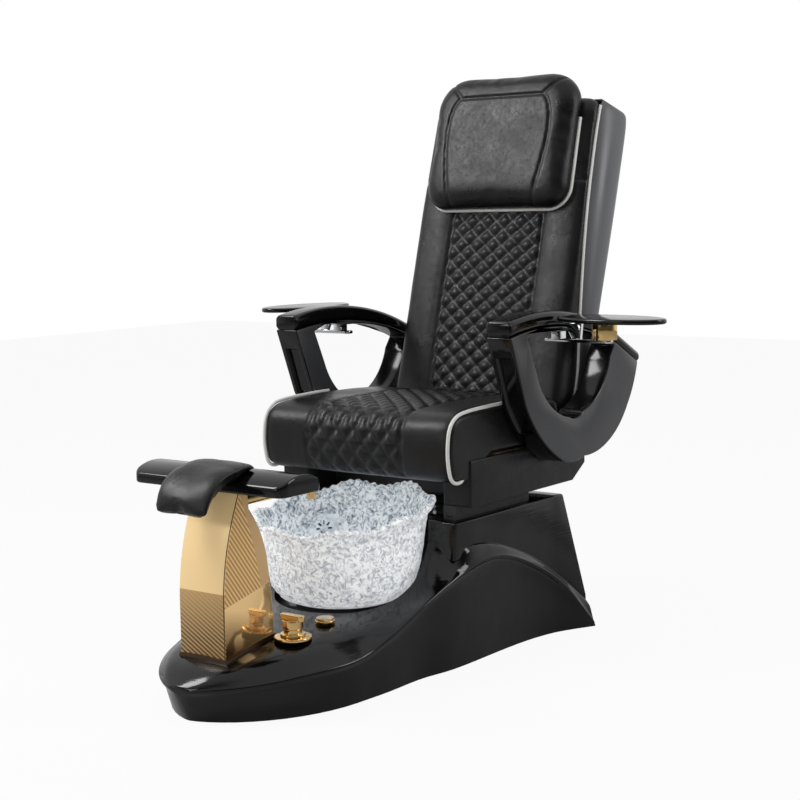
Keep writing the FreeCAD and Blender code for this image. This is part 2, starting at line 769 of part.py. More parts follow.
def saddle_section(x, inset):
    """Outline of the pad over the bar and down its front, drawn in towards either end."""
    i = inset
    t = saddle_t
    hem_y, hem_z = saddle_hem
    steps = [(saddle_rear_y - i, bar_side_z + 6), (saddle_rear_y - 8 - i, bar_top_z + 8 - i),
             (-430, bar_top_z + t - i, -480, bar_top_z + 11 - i), (-548 + i, 502 - i, hem_y + i, hem_z + i),
             (hem_y + t - i, hem_z - 6 + i), (-522, 480 + i / 2, bar_front_y - 3, bar_side_z + 4)]
    return wire_x(x, steps)


def saddle_pad():
    """Padded calf rest draped over the bar, longer at the front."""
    x0, x1 = saddle_right_x, saddle_left_x
    stations = [(x0, 7), (x0 + 12, 2), (0, 0), (x1 - 12, 2), (x1, 7)]
    pad = Part.makeLoft([saddle_section(x, i) for x, i in stations], True, False)
    hem_low = saddle_hem[1] - 20
    taper = [slab_y([(1.3 * x, bar_side_z + 6), (x, bar_side_z + 6), (hem_x, hem_low), (1.3 * x, hem_low)], -640,
                    bar_front_y - 14)
             for x, hem_x in ((x0, saddle_hem_right_x), (x1, saddle_hem_left_x))]
    return pad.cut(footrest_bar()).cut(taper)


# Knob and button
def knob_escutcheon():
    return cylinder(knob_flange_r, (knob_x, knob_y, knob_seat_z), UP, knob_flange_t).cut(
        cylinder(knob_stem_r + clearance, (knob_x, knob_y, knob_seat_z), UP, knob_flange_t))


def mixer_knob():
    """Turned body with a waist and a wing lever, bored for the spindle."""
    z = knob_seat_z + knob_flange_t + clearance
    r = knob_body_r
    body = joined(cylinder(r + 5, (knob_x, knob_y, z), UP, 6), cylinder(r - 3, (knob_x, knob_y, z + 6), UP, 10),
                  cylinder(r, (knob_x, knob_y, z + 16), UP, knob_height - 26))
    wing = slab_z(rounded(knob_x - knob_wing, knob_x + knob_wing, knob_y - 9, knob_y + 9, 8.9), z + knob_height - 12,
                  z + knob_height)
    spindle_top = knob_seat_z + knob_height * 0.6
    return joined(body, wing).cut(cylinder(knob_spindle_r + running_fit, (knob_x, knob_y, z - 1), UP, spindle_top - z + 2)).cut(
        cylinder(knob_stem_r + clearance, (knob_x, knob_y, z - 1), UP, 1))


def button_bezel():
    return cylinder(bezel_r, (button_x, button_y, button_seat_z), UP, 5).cut(
        cylinder(button_r + clearance, (button_x, button_y, button_seat_z), UP, 5))


def pump_button():
    z = button_seat_z + button_travel + 0.5
    crown = cylinder(button_r, (button_x, button_y, z), UP, 7)
    return joined(crown, cylinder(button_stem_r, (button_x, button_y, button_seat_z - 34), UP, z - button_seat_z + 34))


# Slide between pedestal and seat
def slide_rails():
    rail = box(rail_x - rail_width / 2, rail_x + rail_width / 2, rail_front_y, rail_rear_y, pedestal_top,
               pedestal_top + rail_height)
    groove = box(rail_x - 7, rail_x + 7, rail_front_y, rail_rear_y, pedestal_top + rail_height - 9, pedestal_top + rail_height)
    return both(rail.cut(groove))


def seat_carriage():
    z0 = pedestal_top + rail_height + clearance
    runner = box(rail_x - rail_width / 2, rail_x + rail_width / 2, rail_front_y, rail_rear_y, z0, seat_box_bottom)
    tongue = box(rail_x - 7 + clearance, rail_x + 7 - clearance, rail_front_y, rail_rear_y, z0 - 8, z0)
    return both(joined(runner, tongue))


def slide_motor():
    """Gearmotor and lead screw that move the seat."""
    case = box(-32, 32, 190, 232, pedestal_top, seat_box_bottom - 3)
    return joined(case, cylinder(screw_r, (0, 232, screw_z), BACK, seat_travel + 150))


# Seat
def seat_frame():
    z0, z1 = seat_box_bottom, seat_box_bottom + frame_tube
    members = [tube(s * 239 - 15, s * 239 + 15, 92, 574, z0, z1, "y") for s in (-1, 1)]
    members += [tube(-239, 239, y, y + frame_tube, z0, z1, "x") for y in (206, 400, 544)]
    members += [tube(s * 239 - 15, s * 239 + 15, y, y + frame_tube, z1, seat_box_top - board_t, "z")
                for s in (-1, 1) for y in (206, 400)]
    nut = box(-14, 14, 240, 264, screw_z - 12, z0).cut(cylinder(screw_r + clearance, (0, 239, screw_z), BACK, 26))
    bridge = box(-14, 14, 230, 266, z0, z0 + 6)
    cheeks = [box(s * cheek_x - 4, s * cheek_x + 4, 535, 577, z1, pivot_z + 16) for s in (-1, 1)]
    feet = [box(min(s * cheek_x, s * 239) - 4, max(s * cheek_x, s * 239) + 4, 544, 574, z1, z1 + 5) for s in (-1, 1)]
    return members[0].fuse(members[1:] + [nut, bridge] + cheeks + feet).cut(recline_pins())


def recline_pins():
    pins = [cylinder(pivot_r, (min(s * (frame_x - 19), s * (cheek_x + 6)), pivot_y, pivot_z), RIGHT,
                     cheek_x + 6 - frame_x + 19) for s in (-1, 1)]
    return Part.makeCompound(pins)


def seat_board():
    """Plywood base under the cushion."""
    return box(-seat_half + seat_box_wall, seat_half - seat_box_wall, seat_recess_y + seat_box_wall, cushion_rear_y,
               seat_box_top - board_t, seat_box_top)


def seat_box():
    """Upholstered skirt: two side pockets in front of the bowl's rim, chamfered at the rear."""
    def plan(w, front):
        return [(-seat_half + w, seat_box_rear_y - w), (-seat_half + w, front + w), (-seat_recess_half - w, front + w),
                (-seat_recess_half - w, seat_recess_y + w), (seat_recess_half + w, seat_recess_y + w),
                (seat_recess_half + w, front + w), (seat_half - w, front + w), (seat_half - w, seat_box_rear_y - w)]
    z0, z1 = seat_box_bottom, seat_box_top
    skirt = slab_z(plan(0, seat_box_front_y), z0, z1).cut(slab_z(plan(seat_box_wall, seat_box_front_y), z0, z1))
    chamfer = slab_x([(seat_box_rear_y - seat_chamfer_y, z0), (seat_box_rear_y, z0), (seat_box_rear_y, z0 + seat_chamfer_z)],
                     -seat_half, seat_half)
    notches = [box(s * frame_x - 24, s * frame_x + 24, seat_box_rear_y - 30, seat_box_rear_y + 1, notch_z, z1)
               for s in (-1, 1)]
    shanks = bolt_shanks()
    return skirt.cut([chamfer] + notches + shanks + [mirrored(shank) for shank in shanks])


def cushion_steps(inset):
    """Side outline of the seat cushion: flat base, crowned top, roll over the front."""
    i = inset
    rear, top, front = cushion_rear_y - i / 2, cushion_top_z - i, cushion_front_y + i
    return [(rear, seat_box_top), (rear, top - 34), (rear - 10, top - 10, rear - 34, top - 3),
            (260, top + cushion_crown, 80, top - 2), (front + 22, top - 24, front, top - 74),
            (front + 4, cushion_roll_z + 30, front + 26, cushion_roll_z + i), (cushion_roll_y, cushion_roll_z + i),
            (cushion_roll_y, seat_box_top)]


def cushion_body(inset):
    """Straight middle with a rounded, drawn-in side at either end."""
    straight = cushion_half - 34
    middle = slab_x(cushion_steps(inset), -straight, straight)
    stations = ((straight, 0), (cushion_half - 10, 5), (cushion_half, 16))
    side = Part.makeLoft([wire_x(x, cushion_steps(inset + i)) for x, i in stations], True, True)
    return joined(middle, side, mirrored(side))


def seat_cushion():
    """Cushion with sewn diamonds between two lengthwise seams."""
    skin = slab_x(cushion_steps(-2), -quilt_half, quilt_half).cut(slab_x(cushion_steps(quilt_depth), -quilt_half, quilt_half))
    skin = skin.common(box(-quilt_half, quilt_half, -100, cushion_rear_y - 40, cushion_roll_z + 12, 700))
    middle = (cushion_rear_y + cushion_top_z + cushion_front_y + cushion_roll_z) / 4
    slope = quilt_width / seat_quilt_length
    grooves = []
    for sign in (-1, 1):
        normal = V(1, sign * slope, sign * slope).normalize()
        slabs = [plate_at(V(quilt_width * k, middle, middle), normal, quilt_groove, 1400) for k in range(-8, 9)]
        grooves.append(skin.common(Part.makeCompound(slabs)))
    seam_skin = slab_x(cushion_steps(-2), -quilt_half - 3, quilt_half + 3).cut(
        slab_x(cushion_steps(quilt_depth), -quilt_half - 3, quilt_half + 3))
    grooves.append(seam_skin.common(both(box(quilt_half - 1.5, quilt_half + 1.5, -100, cushion_rear_y - 5, cushion_roll_z + 6, 700))))
    cushion = cushion_body(0)
    for groove in grooves:
        cushion = cushion.cut(groove)
    return cushion


def plate_at(centre, normal, thickness, size):
    """Square plate of the given thickness, centred on a point and square to a direction."""
    plate = Part.makeBox(size, size, thickness, V(-size / 2, -size / 2, -thickness / 2))
    plate.Placement = FreeCAD.Placement(centre, FreeCAD.Rotation(V(0, 0, 1), normal))
    return plate


def seat_piping():
    band = slab_x(cushion_steps(-1), cushion_half - 9, cushion_half + 2).cut(
        slab_x(cushion_steps(piping_w + 4), cushion_half - 10, cushion_half + 3))
    keep = box(0, 400, -100, piping_rear_y, cushion_roll_z - 5, 700)
    return both(band.common(keep).cut(cushion_body(0)).cut(box(0, 400, cushion_roll_y - 6, 500, 400, seat_box_top + 20)))


# Backrest
def back_section(z, w, front, grow):
    r = back_edge_r
    k = r * (1 - math.sqrt(0.5))
    w = w + grow
    return wire_z(z, [(-w, back_rear), (-w, front + r), (-w + k, front + k, -w + r, front), (0, front - back_crown, w - r, front),
                      (w - k, front + k, w, front + r), (w, back_rear)])


def back_half(z):
    return back_half_foot + (back_half_head - back_half_foot) * (z - back_foot) / (back_head - back_foot)


def back_body(front_inset, grow):
    i = front_inset
    stations = [(back_foot, -14, 14), (back_foot + 14, -3, 3), (back_foot + 60, 0, 0), (back_head - 60, 0, 0),
                (back_head - 16, -4, 4), (back_head, -16, 18)]
    return Part.makeLoft([back_section(z, back_half(z) + dw, back_front + df + i, grow) for z, dw, df in stations], True, True)


def back_pad():
    """Back pad, drawn in at the rear to sit inside the shell."""
    front = back_body(0, 0).common(box(-400, 400, -300, back_step_y, 0, 2000))
    rear = back_body(0, -back_step).common(box(-400, 400, back_step_y, 0, 0, 2000))
    return front.fuse(rear)


def back_cushion():
    """Back pad with sewn diamonds below the pillow and two long seams."""
    crown = wire_z(back_foot + 20, [(-260, back_front + quilt_depth), (0, back_front - back_crown + quilt_depth, 260,
                                    back_front + quilt_depth), (260, -200), (-260, -200)])
    front = Part.Face(crown).extrude(V(0, 0, back_head - back_foot - 50))
    quilted = front.common(box(-quilt_half, quilt_half, -200, back_front + 30, back_foot + 20, quilt_top))
    middle = (back_foot + quilt_top) / 2
    cushion = back_pad()
    for sign in (-1, 1):
        normal = V(1, 0, sign * quilt_width / back_quilt_length).normalize()
        slabs = [plate_at(V(quilt_width * k, 0, middle), normal, quilt_groove, 1600) for k in range(-9, 10)]
        cushion = cushion.cut(quilted.common(Part.makeCompound(slabs)))
    seams = both(box(quilt_half - 1.5, quilt_half + 1.5, -200, back_front + 30, back_foot + 20, back_head - 30))
    return leaned(cushion.cut(front.common(seams)))


def back_piping():
    band = back_body(0, 4).common(box(-400, 400, back_step_y - 9, back_step_y - 1, back_foot + 12, back_head - 20))
    return leaned(band.cut(back_body(0, 0)).common(both(box(200, 400, -200, 0, 0, 2000))))


def shell_section(z, depth, inset):
    """Outline of the rear cover at one height: straight sides, round rear corners."""
    w = back_half(z) - 1 - inset
    d = depth - inset
    r = back_shell_corner_r
    k = r * (1 - math.sqrt(0.5))
    front = back_step_y - (10 if inset else 0)
    return wire_z(z, [(-w, front), (-w, d - r), (-w + k, d - k, -w + r, d), (w - r, d), (w - k, d - k, w, d - r),
                      (w, front)])


def back_shell():
    """Hard rear cover, a deep tray that the pad sits in."""
    t = back_shell_t
    outer = Part.makeLoft([shell_section(z, d, 0) for z, d in back_shell_depth], True, True)
    foot, head = back_shell_depth[0], back_shell_depth[-1]
    levels = [(foot[0] + t, foot[1])] + back_shell_depth[1:-1] + [(head[0] - t, head[1])]
    inner = Part.makeLoft([shell_section(z, d, t) for z, d in levels], True, True)
    pad_space = box(-400, 400, -200, back_rear, 0, foot[0] + t).common(back_body(0, -back_step + 1))
    uprights = both(box(frame_x - 15.5, frame_x + 15.5, back_rear - 1, back_rear + frame_tube + 0.5, foot[0] - 1,
                        foot[0] + t + 1))
    return leaned(outer.cut([inner, uprights, pad_space]))


def back_frame():
    """Two uprights and three cross members; the uprights turn on the recline pins."""
    y0, y1 = back_rear, back_rear + frame_tube
    members = [tube(s * frame_x - 15, s * frame_x + 15, y0, y1, 30, frame_head, "z") for s in (-1, 1)]
    members += [tube(-frame_x, frame_x, y0, y1, z, z + frame_tube, "x") for z in (110, frame_head - frame_tube)]
    bosses = [cylinder(20, (s * frame_x - 15, 0, 0), RIGHT, 30) for s in (-1, 1)]
    straps = [box(s * frame_x - 15, s * frame_x + 15, y0, 18, 0, 34) for s in (-1, 1)]
    frame = members[0].fuse(members[1:] + bosses + straps)
    return leaned(frame.cut([cylinder(pivot_r + running_fit, (s * frame_x - 30, 0, 0), RIGHT, 60) for s in (-1, 1)]))


def massage_rails():
    rods = [cylinder(massage_rod_r, (s * massage_rail_x, massage_rod_y, 180), UP, frame_head - 40 - 180) for s in (-1, 1)]
    plates = [box(-frame_x, frame_x, back_rear + frame_tube, massage_rod_y + 12, z, z + 5) for z in (175, frame_head - 40)]
    return leaned(rods[0].fuse([rods[1]] + plates))


def massage_carriage():
    """Carriage with two pairs of kneading rollers."""
    z = massage_low
    body = box(-massage_rail_x - 20, massage_rail_x + 20, massage_rod_y - 12, massage_rod_y + 12, z, z + 70)
    rollers = [cylinder(roller_r, (s * 66 - 14, roller_y, z + 35), RIGHT, 28) for s in (-1, 1)]
    return leaned(body.fuse(rollers).cut([cylinder(massage_rod_r + running_fit, (s * massage_rail_x, massage_rod_y, z - 1), UP, 72)
                                          for s in (-1, 1)]))


def pillow_body(grow):
    def ring(y, inset, tighter):
        return wire(rounded(-pillow_half + inset, pillow_half - inset, pillow_foot + inset, pillow_head - inset,
                            pillow_corner_r - tighter, pillow_top_corner_r - tighter), lambda x, z: V(x, y, z))
    y0 = back_front + 4
    levels = [(y0, 6, 0), (y0 - 14, 0, 0), (y0 - 38, 2, 0), (y0 - 58, 20, 8), (y0 - pillow_t, 60, 24)]
    return Part.makeLoft([ring(y, i - grow, tighter) for y, i, tighter in levels], True, False)


def head_pillow():
    pillow = pillow_body(0)
    inset = pillow_seam_inset
    inner = wire(rounded(-pillow_half + inset, pillow_half - inset, pillow_foot + inset, pillow_head - inset, 36),
                 lambda x, z: V(x, 0, z))
    outer = wire(rounded(-pillow_half + inset - 3, pillow_half - inset + 3, pillow_foot + inset - 3, pillow_head - inset + 3, 39),
                 lambda x, z: V(x, 0, z))
    seam = Part.Face(outer).extrude(V(0, -300, 0)).cut(Part.Face(inner).extrude(V(0, -300, 0)))
    deep = pillow_body(-quilt_groove)
    deep.translate(V(0, quilt_groove, 0))
    return leaned(pillow.cut(back_body(0, 0)).cut(seam.cut(deep).common(box(-400, 400, -300, back_front - 20, 0, 2000))))


def pillow_piping():
    band = pillow_body(4).common(box(-400, 400, back_front - 9, back_front - 1, 0, 2000))
    low = box(-400, 400, -300, 0, 0, pillow_head - 120)
    return leaned(band.cut(pillow_body(0)).cut(back_body(0, 0)).common(low))


# Arms
def arm_bar():
    """Curved top rail, thicker at the front than at the rear."""
    (y0, z0), (y1, z1), (y2, z2), (y3, z3) = arm_front, arm_crown, arm_knee, arm_rear
    t, rear_t = arm_bar_t, arm_bar_rear_t
    steps = [(y0, z0), (y1, z1, y2, z2), (y3, z3), (y3, z3 + rear_t), (y2, z2 + rear_t), (y1, z1 + t, y0, z0 + t)]
    bar = slab_x(steps, arm_inner_x, arm_outer_x)
    front_edges = [e for e in bar.Edges if e.BoundBox.XLength < 1e-6 and e.Length > 60]
    return bar.makeChamfer(arm_bar_chamfer, front_edges)


def arm_steps():
    """Outer outline of the arm's loop, closed along the bar's underside."""
    return [arm_front, (205, 605), (272, 520, 368, 456), (415, 447, 470, 455), (590, 478, 686, 560),
            (716, 606, arm_rear[0] - 8, arm_rear[1] + 4), arm_knee, arm_crown + arm_front]


def arm_opening():
    return [(216, 762), (253, 680), (310, 600, 400, 560), (428, 554, 466, 569), (548, 612, 595, 689), (616, 718),
            (arm_crown[0] + 130, arm_crown[1] - 22, arm_crown[0], arm_crown[1] - 14), (270, 780)]


def arm_body():
    loop = slab_x(arm_steps(), arm_inner_x, arm_outer_x).cut(slab_x(arm_opening(), arm_inner_x - 1, arm_outer_x + 1))
    return loop.cut([arm_channel(), arm_bar()] + bolt_shanks())


def arm_channel():
    """Recess down the front of the arm's leg."""
    d = arm_channel_depth
    steps = [(150, 718), (168 + d, 722), (207 + d, 612), (262 + d, 536), (250, 530), (195, 605)]
    return slab_x(steps, arm_inner_x + arm_channel_inset, arm_outer_x - arm_channel_inset)


def arm_insert():
    """Gloss strip on the floor of the recess."""
    d = arm_channel_depth
    steps = [(168 + d - 3, 718), (168 + d, 718), (207 + d, 612), (262 + d, 536), (262 + d - 3, 534), (207 + d - 3, 610)]
    strip = slab_x(steps, arm_inner_x + arm_channel_inset, arm_outer_x - arm_channel_inset)
    return strip.cut(arm_body())


def bolt_shanks():
    x = seat_half - seat_box_wall
    return [cylinder(4, (x, y, bolt_z), RIGHT, arm_inner_x + 20 - x) for y in bolt_y]


def arm_bolts():
    """Screws that hold each arm to the seat's skirt."""
    heads = [cylinder(6.5, (seat_half - seat_box_wall - 5, y, bolt_z), RIGHT, 5) for y in bolt_y]
    return both(heads[0].fuse(heads[1:] + bolt_shanks() + arm_spacers()))


def arm_spacers():
    """Washers between the skirt and the arm."""
    return [cylinder(9, (seat_half, y, bolt_z), RIGHT, arm_inner_x - seat_half) for y in bolt_y]


def tray_bracket():
    """Plate under the rail, held up against it in the arm's opening, with a gusset outside."""
    foot_z = tray_post_foot_z
    w = bracket_w / 2
    plate = slab_z(rounded(arm_inner_x + 14, tray_post_x + 20, tray_post_y - w, tray_post_y + w, 12),
                   foot_z - bracket_t, foot_z)
    upright = box(arm_inner_x + 38, arm_outer_x - 6, tray_post_y - w, tray_post_y + w, foot_z - bracket_t, foot_z + 60)
    gusset = slab_y([(arm_outer_x + 3, tray_bottom_z - 9), (arm_outer_x + 48, tray_bottom_z - 9), (arm_outer_x + 44, foot_z),
                     (arm_outer_x + 22, foot_z)], tray_post_y - gusset_t / 2, tray_post_y + gusset_t / 2)
    return joined(plate, upright.common(slab_x(arm_opening(), arm_inner_x, arm_outer_x)), gusset)


def tray_post():
    return cylinder(tray_post_r, (tray_post_x, tray_post_y, tray_post_foot_z), UP,
                    tray_bottom_z - clearance - tray_post_foot_z).cut(
        cylinder(spindle_r + running_fit, (tray_post_x, tray_post_y, tray_post_foot_z + 12), UP, 60))


def tray():
    """Oval plate with a round edge, off centre on its spindle."""
    turn = math.radians(tray_turn)
    u, n = V(math.cos(turn), math.sin(turn), 0), V(-math.sin(turn), math.cos(turn), 0)
    centre = V(tray_post_x, tray_post_y, tray_bottom_z) + u * tray_along + n * tray_across
    curve = Part.Ellipse(centre + u * tray_long_r, centre + n * tray_short_r, centre)
    plate = Part.Face(Part.Wire(curve.toShape())).extrude(V(0, 0, tray_t))
    plate = plate.makeChamfer(3, [e for e in plate.Edges if e.Length > 100])
    spindle = cylinder(spindle_r, (tray_post_x, tray_post_y, tray_post_foot_z + 14), UP, tray_bottom_z - tray_post_foot_z - 14)
    return joined(plate, spindle)


def tray_right():
    """The other tray, swung back along its arm."""
    swung = mirrored(tray())
    swung.rotate(V(-tray_post_x, tray_post_y, 0), V(0, 0, 1), tray_right_swing)
    return swung


# Every node with the shape that fills it
def write_parts():
    pieces = {
        "base_shell": base_shell, "floor_pan": floor_pan, "base_frame": base_frame,
        "rear_access_panel": rear_access_panel, "panel_screws": panel_screws, "glass_bowl": glass_bowl,
        "bowl_gasket": bowl_gasket, "drain_fitting": drain_fitting, "drain_pipe": drain_pipe, "drain_pump": drain_pump,
        "drain_outlet": drain_outlet, "jet_cover": jet_cover, "jet_impeller": jet_impeller, "jet_motor": jet_motor,
        "control_box": control_box, "power_inlet": power_inlet, "mixer_valve": mixer_valve,
        "supply_pipes": supply_pipes, "spout_pipe": spout_pipe, "water_spout": water_spout,
        "column_shell": column_shell, "column_foot_trim": column_trim_ring, "lift_mast": lift_mast,
        "footrest_post": footrest_post, "footrest_bar": footrest_bar, "saddle_pad": saddle_pad,
        "knob_escutcheon": knob_escutcheon, "mixer_knob": mixer_knob, "button_bezel": button_bezel,
        "pump_button": pump_button, "slide_rails": slide_rails, "slide_motor": slide_motor,
        "seat_carriage": seat_carriage, "seat_frame": seat_frame, "recline_pins": recline_pins,
        "seat_board": seat_board, "seat_box": seat_box, "seat_cushion": seat_cushion, "seat_piping": seat_piping,
        "back_frame": back_frame, "back_cushion": back_cushion, "back_piping": back_piping, "back_shell": back_shell,
        "massage_rails": massage_rails, "massage_carriage": massage_carriage, "head_pillow": head_pillow,
        "pillow_piping": pillow_piping, "arm_bolts": arm_bolts, "tray_left": tray, "tray_right": tray_right}
    paired = {"arm_body": arm_body, "arm_bar": arm_bar, "arm_insert": arm_insert, "tray_bracket": tray_bracket,
              "tray_post": tray_post}
    os.makedirs("parts", exist_ok=True)
    for name, make in pieces.items():
        make().exportStep(os.path.join("parts", name + ".step"))
    for name, make in paired.items():
        shape = make()
        shape.exportStep(os.path.join("parts", name + "_left.step"))
        mirrored(shape).exportStep(os.path.join("parts", name + "_right.step"))


if __name__ == "__main__":
    write_parts()
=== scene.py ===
"""Looks of the pedicure spa chair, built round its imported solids."""
import json
import math

import bmesh
import bpy
from mathutils import Matrix, Vector, noise

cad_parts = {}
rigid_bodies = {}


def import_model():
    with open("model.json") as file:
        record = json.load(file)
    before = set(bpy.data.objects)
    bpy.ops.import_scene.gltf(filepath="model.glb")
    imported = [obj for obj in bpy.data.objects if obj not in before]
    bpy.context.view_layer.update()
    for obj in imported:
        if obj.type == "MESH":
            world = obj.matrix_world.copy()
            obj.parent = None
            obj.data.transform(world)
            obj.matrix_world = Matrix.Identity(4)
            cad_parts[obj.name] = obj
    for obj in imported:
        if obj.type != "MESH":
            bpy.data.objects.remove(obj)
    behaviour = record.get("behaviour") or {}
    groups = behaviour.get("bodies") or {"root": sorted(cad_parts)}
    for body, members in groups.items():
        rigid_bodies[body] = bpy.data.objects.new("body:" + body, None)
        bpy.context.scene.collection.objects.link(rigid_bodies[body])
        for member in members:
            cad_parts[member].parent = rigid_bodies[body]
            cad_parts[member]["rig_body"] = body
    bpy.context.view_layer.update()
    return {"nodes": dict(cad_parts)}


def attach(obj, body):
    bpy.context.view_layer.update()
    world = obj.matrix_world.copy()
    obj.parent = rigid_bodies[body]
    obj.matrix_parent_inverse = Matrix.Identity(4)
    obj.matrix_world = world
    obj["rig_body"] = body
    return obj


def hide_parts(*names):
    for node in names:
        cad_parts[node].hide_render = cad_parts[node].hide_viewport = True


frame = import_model()

# Camera
# The chair was photographed from its front, over the sitter's left foot, with a long lens held
# a little above the arms. The picture is square.
azimuth = math.radians(37.05)
pitch = math.radians(6.63)
roll = math.radians(-1.13)
backward = Vector((math.sin(azimuth) * math.cos(pitch),
                   -math.cos(azimuth) * math.cos(pitch), math.sin(pitch)))
level_right = Vector((math.cos(azimuth), math.sin(azimuth), 0))
level_up = backward.cross(level_right)
picture_right = level_right * math.cos(roll) + level_up * math.sin(roll)
picture_up = level_up * math.cos(roll) - level_right * math.sin(roll)
lens = bpy.data.cameras.new("camera")
lens.sensor_width = 36.0
lens.lens = 73.62
lens.clip_end = 50.0
camera = bpy.data.objects.new("camera", lens)
camera.matrix_world = Matrix((picture_right, picture_up, backward)).transposed().to_4x4()
camera.location = (2.3958, -2.9844, 1.0661)
bpy.context.scene.collection.objects.link(camera)
bpy.context.scene.camera = camera
bpy.context.scene.view_settings.view_transform = "Standard"

# Studio
# A white cove with a large lamp high on the left and a smaller one behind on the right that draws
# the edges. Gloss sees white above and behind the chair and a dark room on the camera's side.
world = bpy.data.worlds.new("studio")
bpy.context.scene.world = world
world.use_nodes = True
sky_nodes = world.node_tree.nodes
sky_links = world.node_tree.links
sky_nodes.clear()
sky_path = sky_nodes.new("ShaderNodeLightPath")
sky_place = sky_nodes.new("ShaderNodeTexCoord")
sky_front = sky_nodes.new("ShaderNodeVectorMath")
sky_front.operation = "DOT_PRODUCT"
sky_front.inputs[1].default_value = (0.66, -0.75, 0.0)
sky_parts = sky_nodes.new("ShaderNodeSeparateXYZ")
sky_around = sky_nodes.new("ShaderNodeMapRange")
sky_around.interpolation_type = "SMOOTHSTEP"
sky_around.inputs["From Min"].default_value = -0.35
sky_around.inputs["From Max"].default_value = 0.55
sky_around.inputs["To Min"].default_value = 0.8
sky_around.inputs["To Max"].default_value = 0.06
sky_above = sky_nodes.new("ShaderNodeMapRange")
sky_above.interpolation_type = "SMOOTHSTEP"
sky_above.inputs["From Min"].default_value = 0.45
sky_above.inputs["From Max"].default_value = 0.85
sky_above.inputs["To Max"].default_value = 0.8
sky_gloss = sky_nodes.new("ShaderNodeMath")
sky_gloss.operation = "MAXIMUM"
sky_seen = sky_nodes.new("ShaderNodeMath")
sky_seen.operation = "MAXIMUM"
sky_soft = sky_nodes.new("ShaderNodeMix")
sky_soft.inputs["A"].default_value = 0.35
sky_strength = sky_nodes.new("ShaderNodeMix")
sky_strength.inputs["B"].default_value = 1.0
sky_background = sky_nodes.new("ShaderNodeBackground")
sky_background.inputs["Color"].default_value = (1, 1, 1, 1)
sky_output = sky_nodes.new("ShaderNodeOutputWorld")
sky_links.new(sky_place.outputs["Generated"], sky_front.inputs[0])
sky_links.new(sky_place.outputs["Generated"], sky_parts.inputs["Vector"])
sky_links.new(sky_front.outputs["Value"], sky_around.inputs["Value"])
sky_links.new(sky_parts.outputs["Z"], sky_above.inputs["Value"])
sky_links.new(sky_around.outputs["Result"], sky_gloss.inputs[0])
sky_links.new(sky_above.outputs["Result"], sky_gloss.inputs[1])
sky_links.new(sky_path.outputs["Is Glossy Ray"], sky_soft.inputs["Factor"])
sky_links.new(sky_gloss.outputs[0], sky_soft.inputs["B"])
sky_links.new(sky_path.outputs["Is Camera Ray"], sky_seen.inputs[0])
sky_links.new(sky_path.outputs["Is Transmission Ray"], sky_seen.inputs[1])
sky_links.new(sky_seen.outputs[0], sky_strength.inputs["Factor"])
sky_links.new(sky_soft.outputs["Result"], sky_strength.inputs["A"])
sky_links.new(sky_strength.outputs["Result"], sky_background.inputs["Strength"])
sky_links.new(sky_background.outputs["Background"], sky_output.inputs["Surface"])


def studio_lamp(name, place, target, size, power):
    """Square soft lamp turned towards a point."""
    lamp = bpy.data.lights.new(name, "AREA")
    lamp.shape = "RECTANGLE"
    lamp.size, lamp.size_y = size
    lamp.energy = power
    holder = bpy.data.objects.new(name, lamp)
    holder.location = place
    holder.rotation_euler = (Vector(target) - Vector(place)).to_track_quat("-Z", "Y").to_euler()
    bpy.context.scene.collection.objects.link(holder)


studio_lamp("key_lamp", (-2.0, -1.6, 3.0), (0, 0, 0.6), (1.3, 1.3), 62)
studio_lamp("edge_lamp", (2.6, 1.4, 2.2), (0, 0.3, 0.8), (0.8, 1.8), 26)
studio_lamp("toe_lamp", (-0.6, -3.2, 1.5), (0, -0.3, 0.3), (1.2, 0.5), 9)

floor_mesh = bpy.data.meshes.new("studio_floor")
floor_form = bmesh.new()
bmesh.ops.create_grid(floor_form, x_segments=1, y_segments=1, size=9.0)
floor_form.to_mesh(floor_mesh)
floor_form.free()
floor = bpy.data.objects.new("studio_floor", floor_mesh)
bpy.context.scene.collection.objects.link(floor)
floor_finish = bpy.data.materials.new("studio_floor")
floor_finish.use_nodes = True
floor_nodes = floor_finish.node_tree.nodes
floor_links = floor_finish.node_tree.links
floor_nodes.clear()
floor_diffuse = floor_nodes.new("ShaderNodeBsdfDiffuse")
floor_diffuse.inputs["Color"].default_value = (0.86, 0.86, 0.86, 1)
floor_glow = floor_nodes.new("ShaderNodeEmission")
floor_path = floor_nodes.new("ShaderNodeLightPath")
floor_level = floor_nodes.new("ShaderNodeMix")
floor_level.inputs["A"].default_value = 0.3
floor_level.inputs["B"].default_value = 1.0
floor_share = floor_nodes.new("ShaderNodeMapRange")
floor_share.inputs["To Min"].default_value = 0.5
floor_share.inputs["To Max"].default_value = 0.93
floor_mix = floor_nodes.new("ShaderNodeMixShader")
floor_output = floor_nodes.new("ShaderNodeOutputMaterial")
floor_links.new(floor_path.outputs["Is Camera Ray"], floor_level.inputs["Factor"])
floor_links.new(floor_level.outputs["Result"], floor_glow.inputs["Strength"])
floor_links.new(floor_path.outputs["Is Camera Ray"], floor_share.inputs["Value"])
floor_links.new(floor_share.outputs["Result"], floor_mix.inputs["Fac"])
floor_links.new(floor_diffuse.outputs[0], floor_mix.inputs[1])
floor_links.new(floor_glow.outputs[0], floor_mix.inputs[2])
floor_links.new(floor_mix.outputs[0], floor_output.inputs["Surface"])
floor_mesh.materials.append(floor_finish)


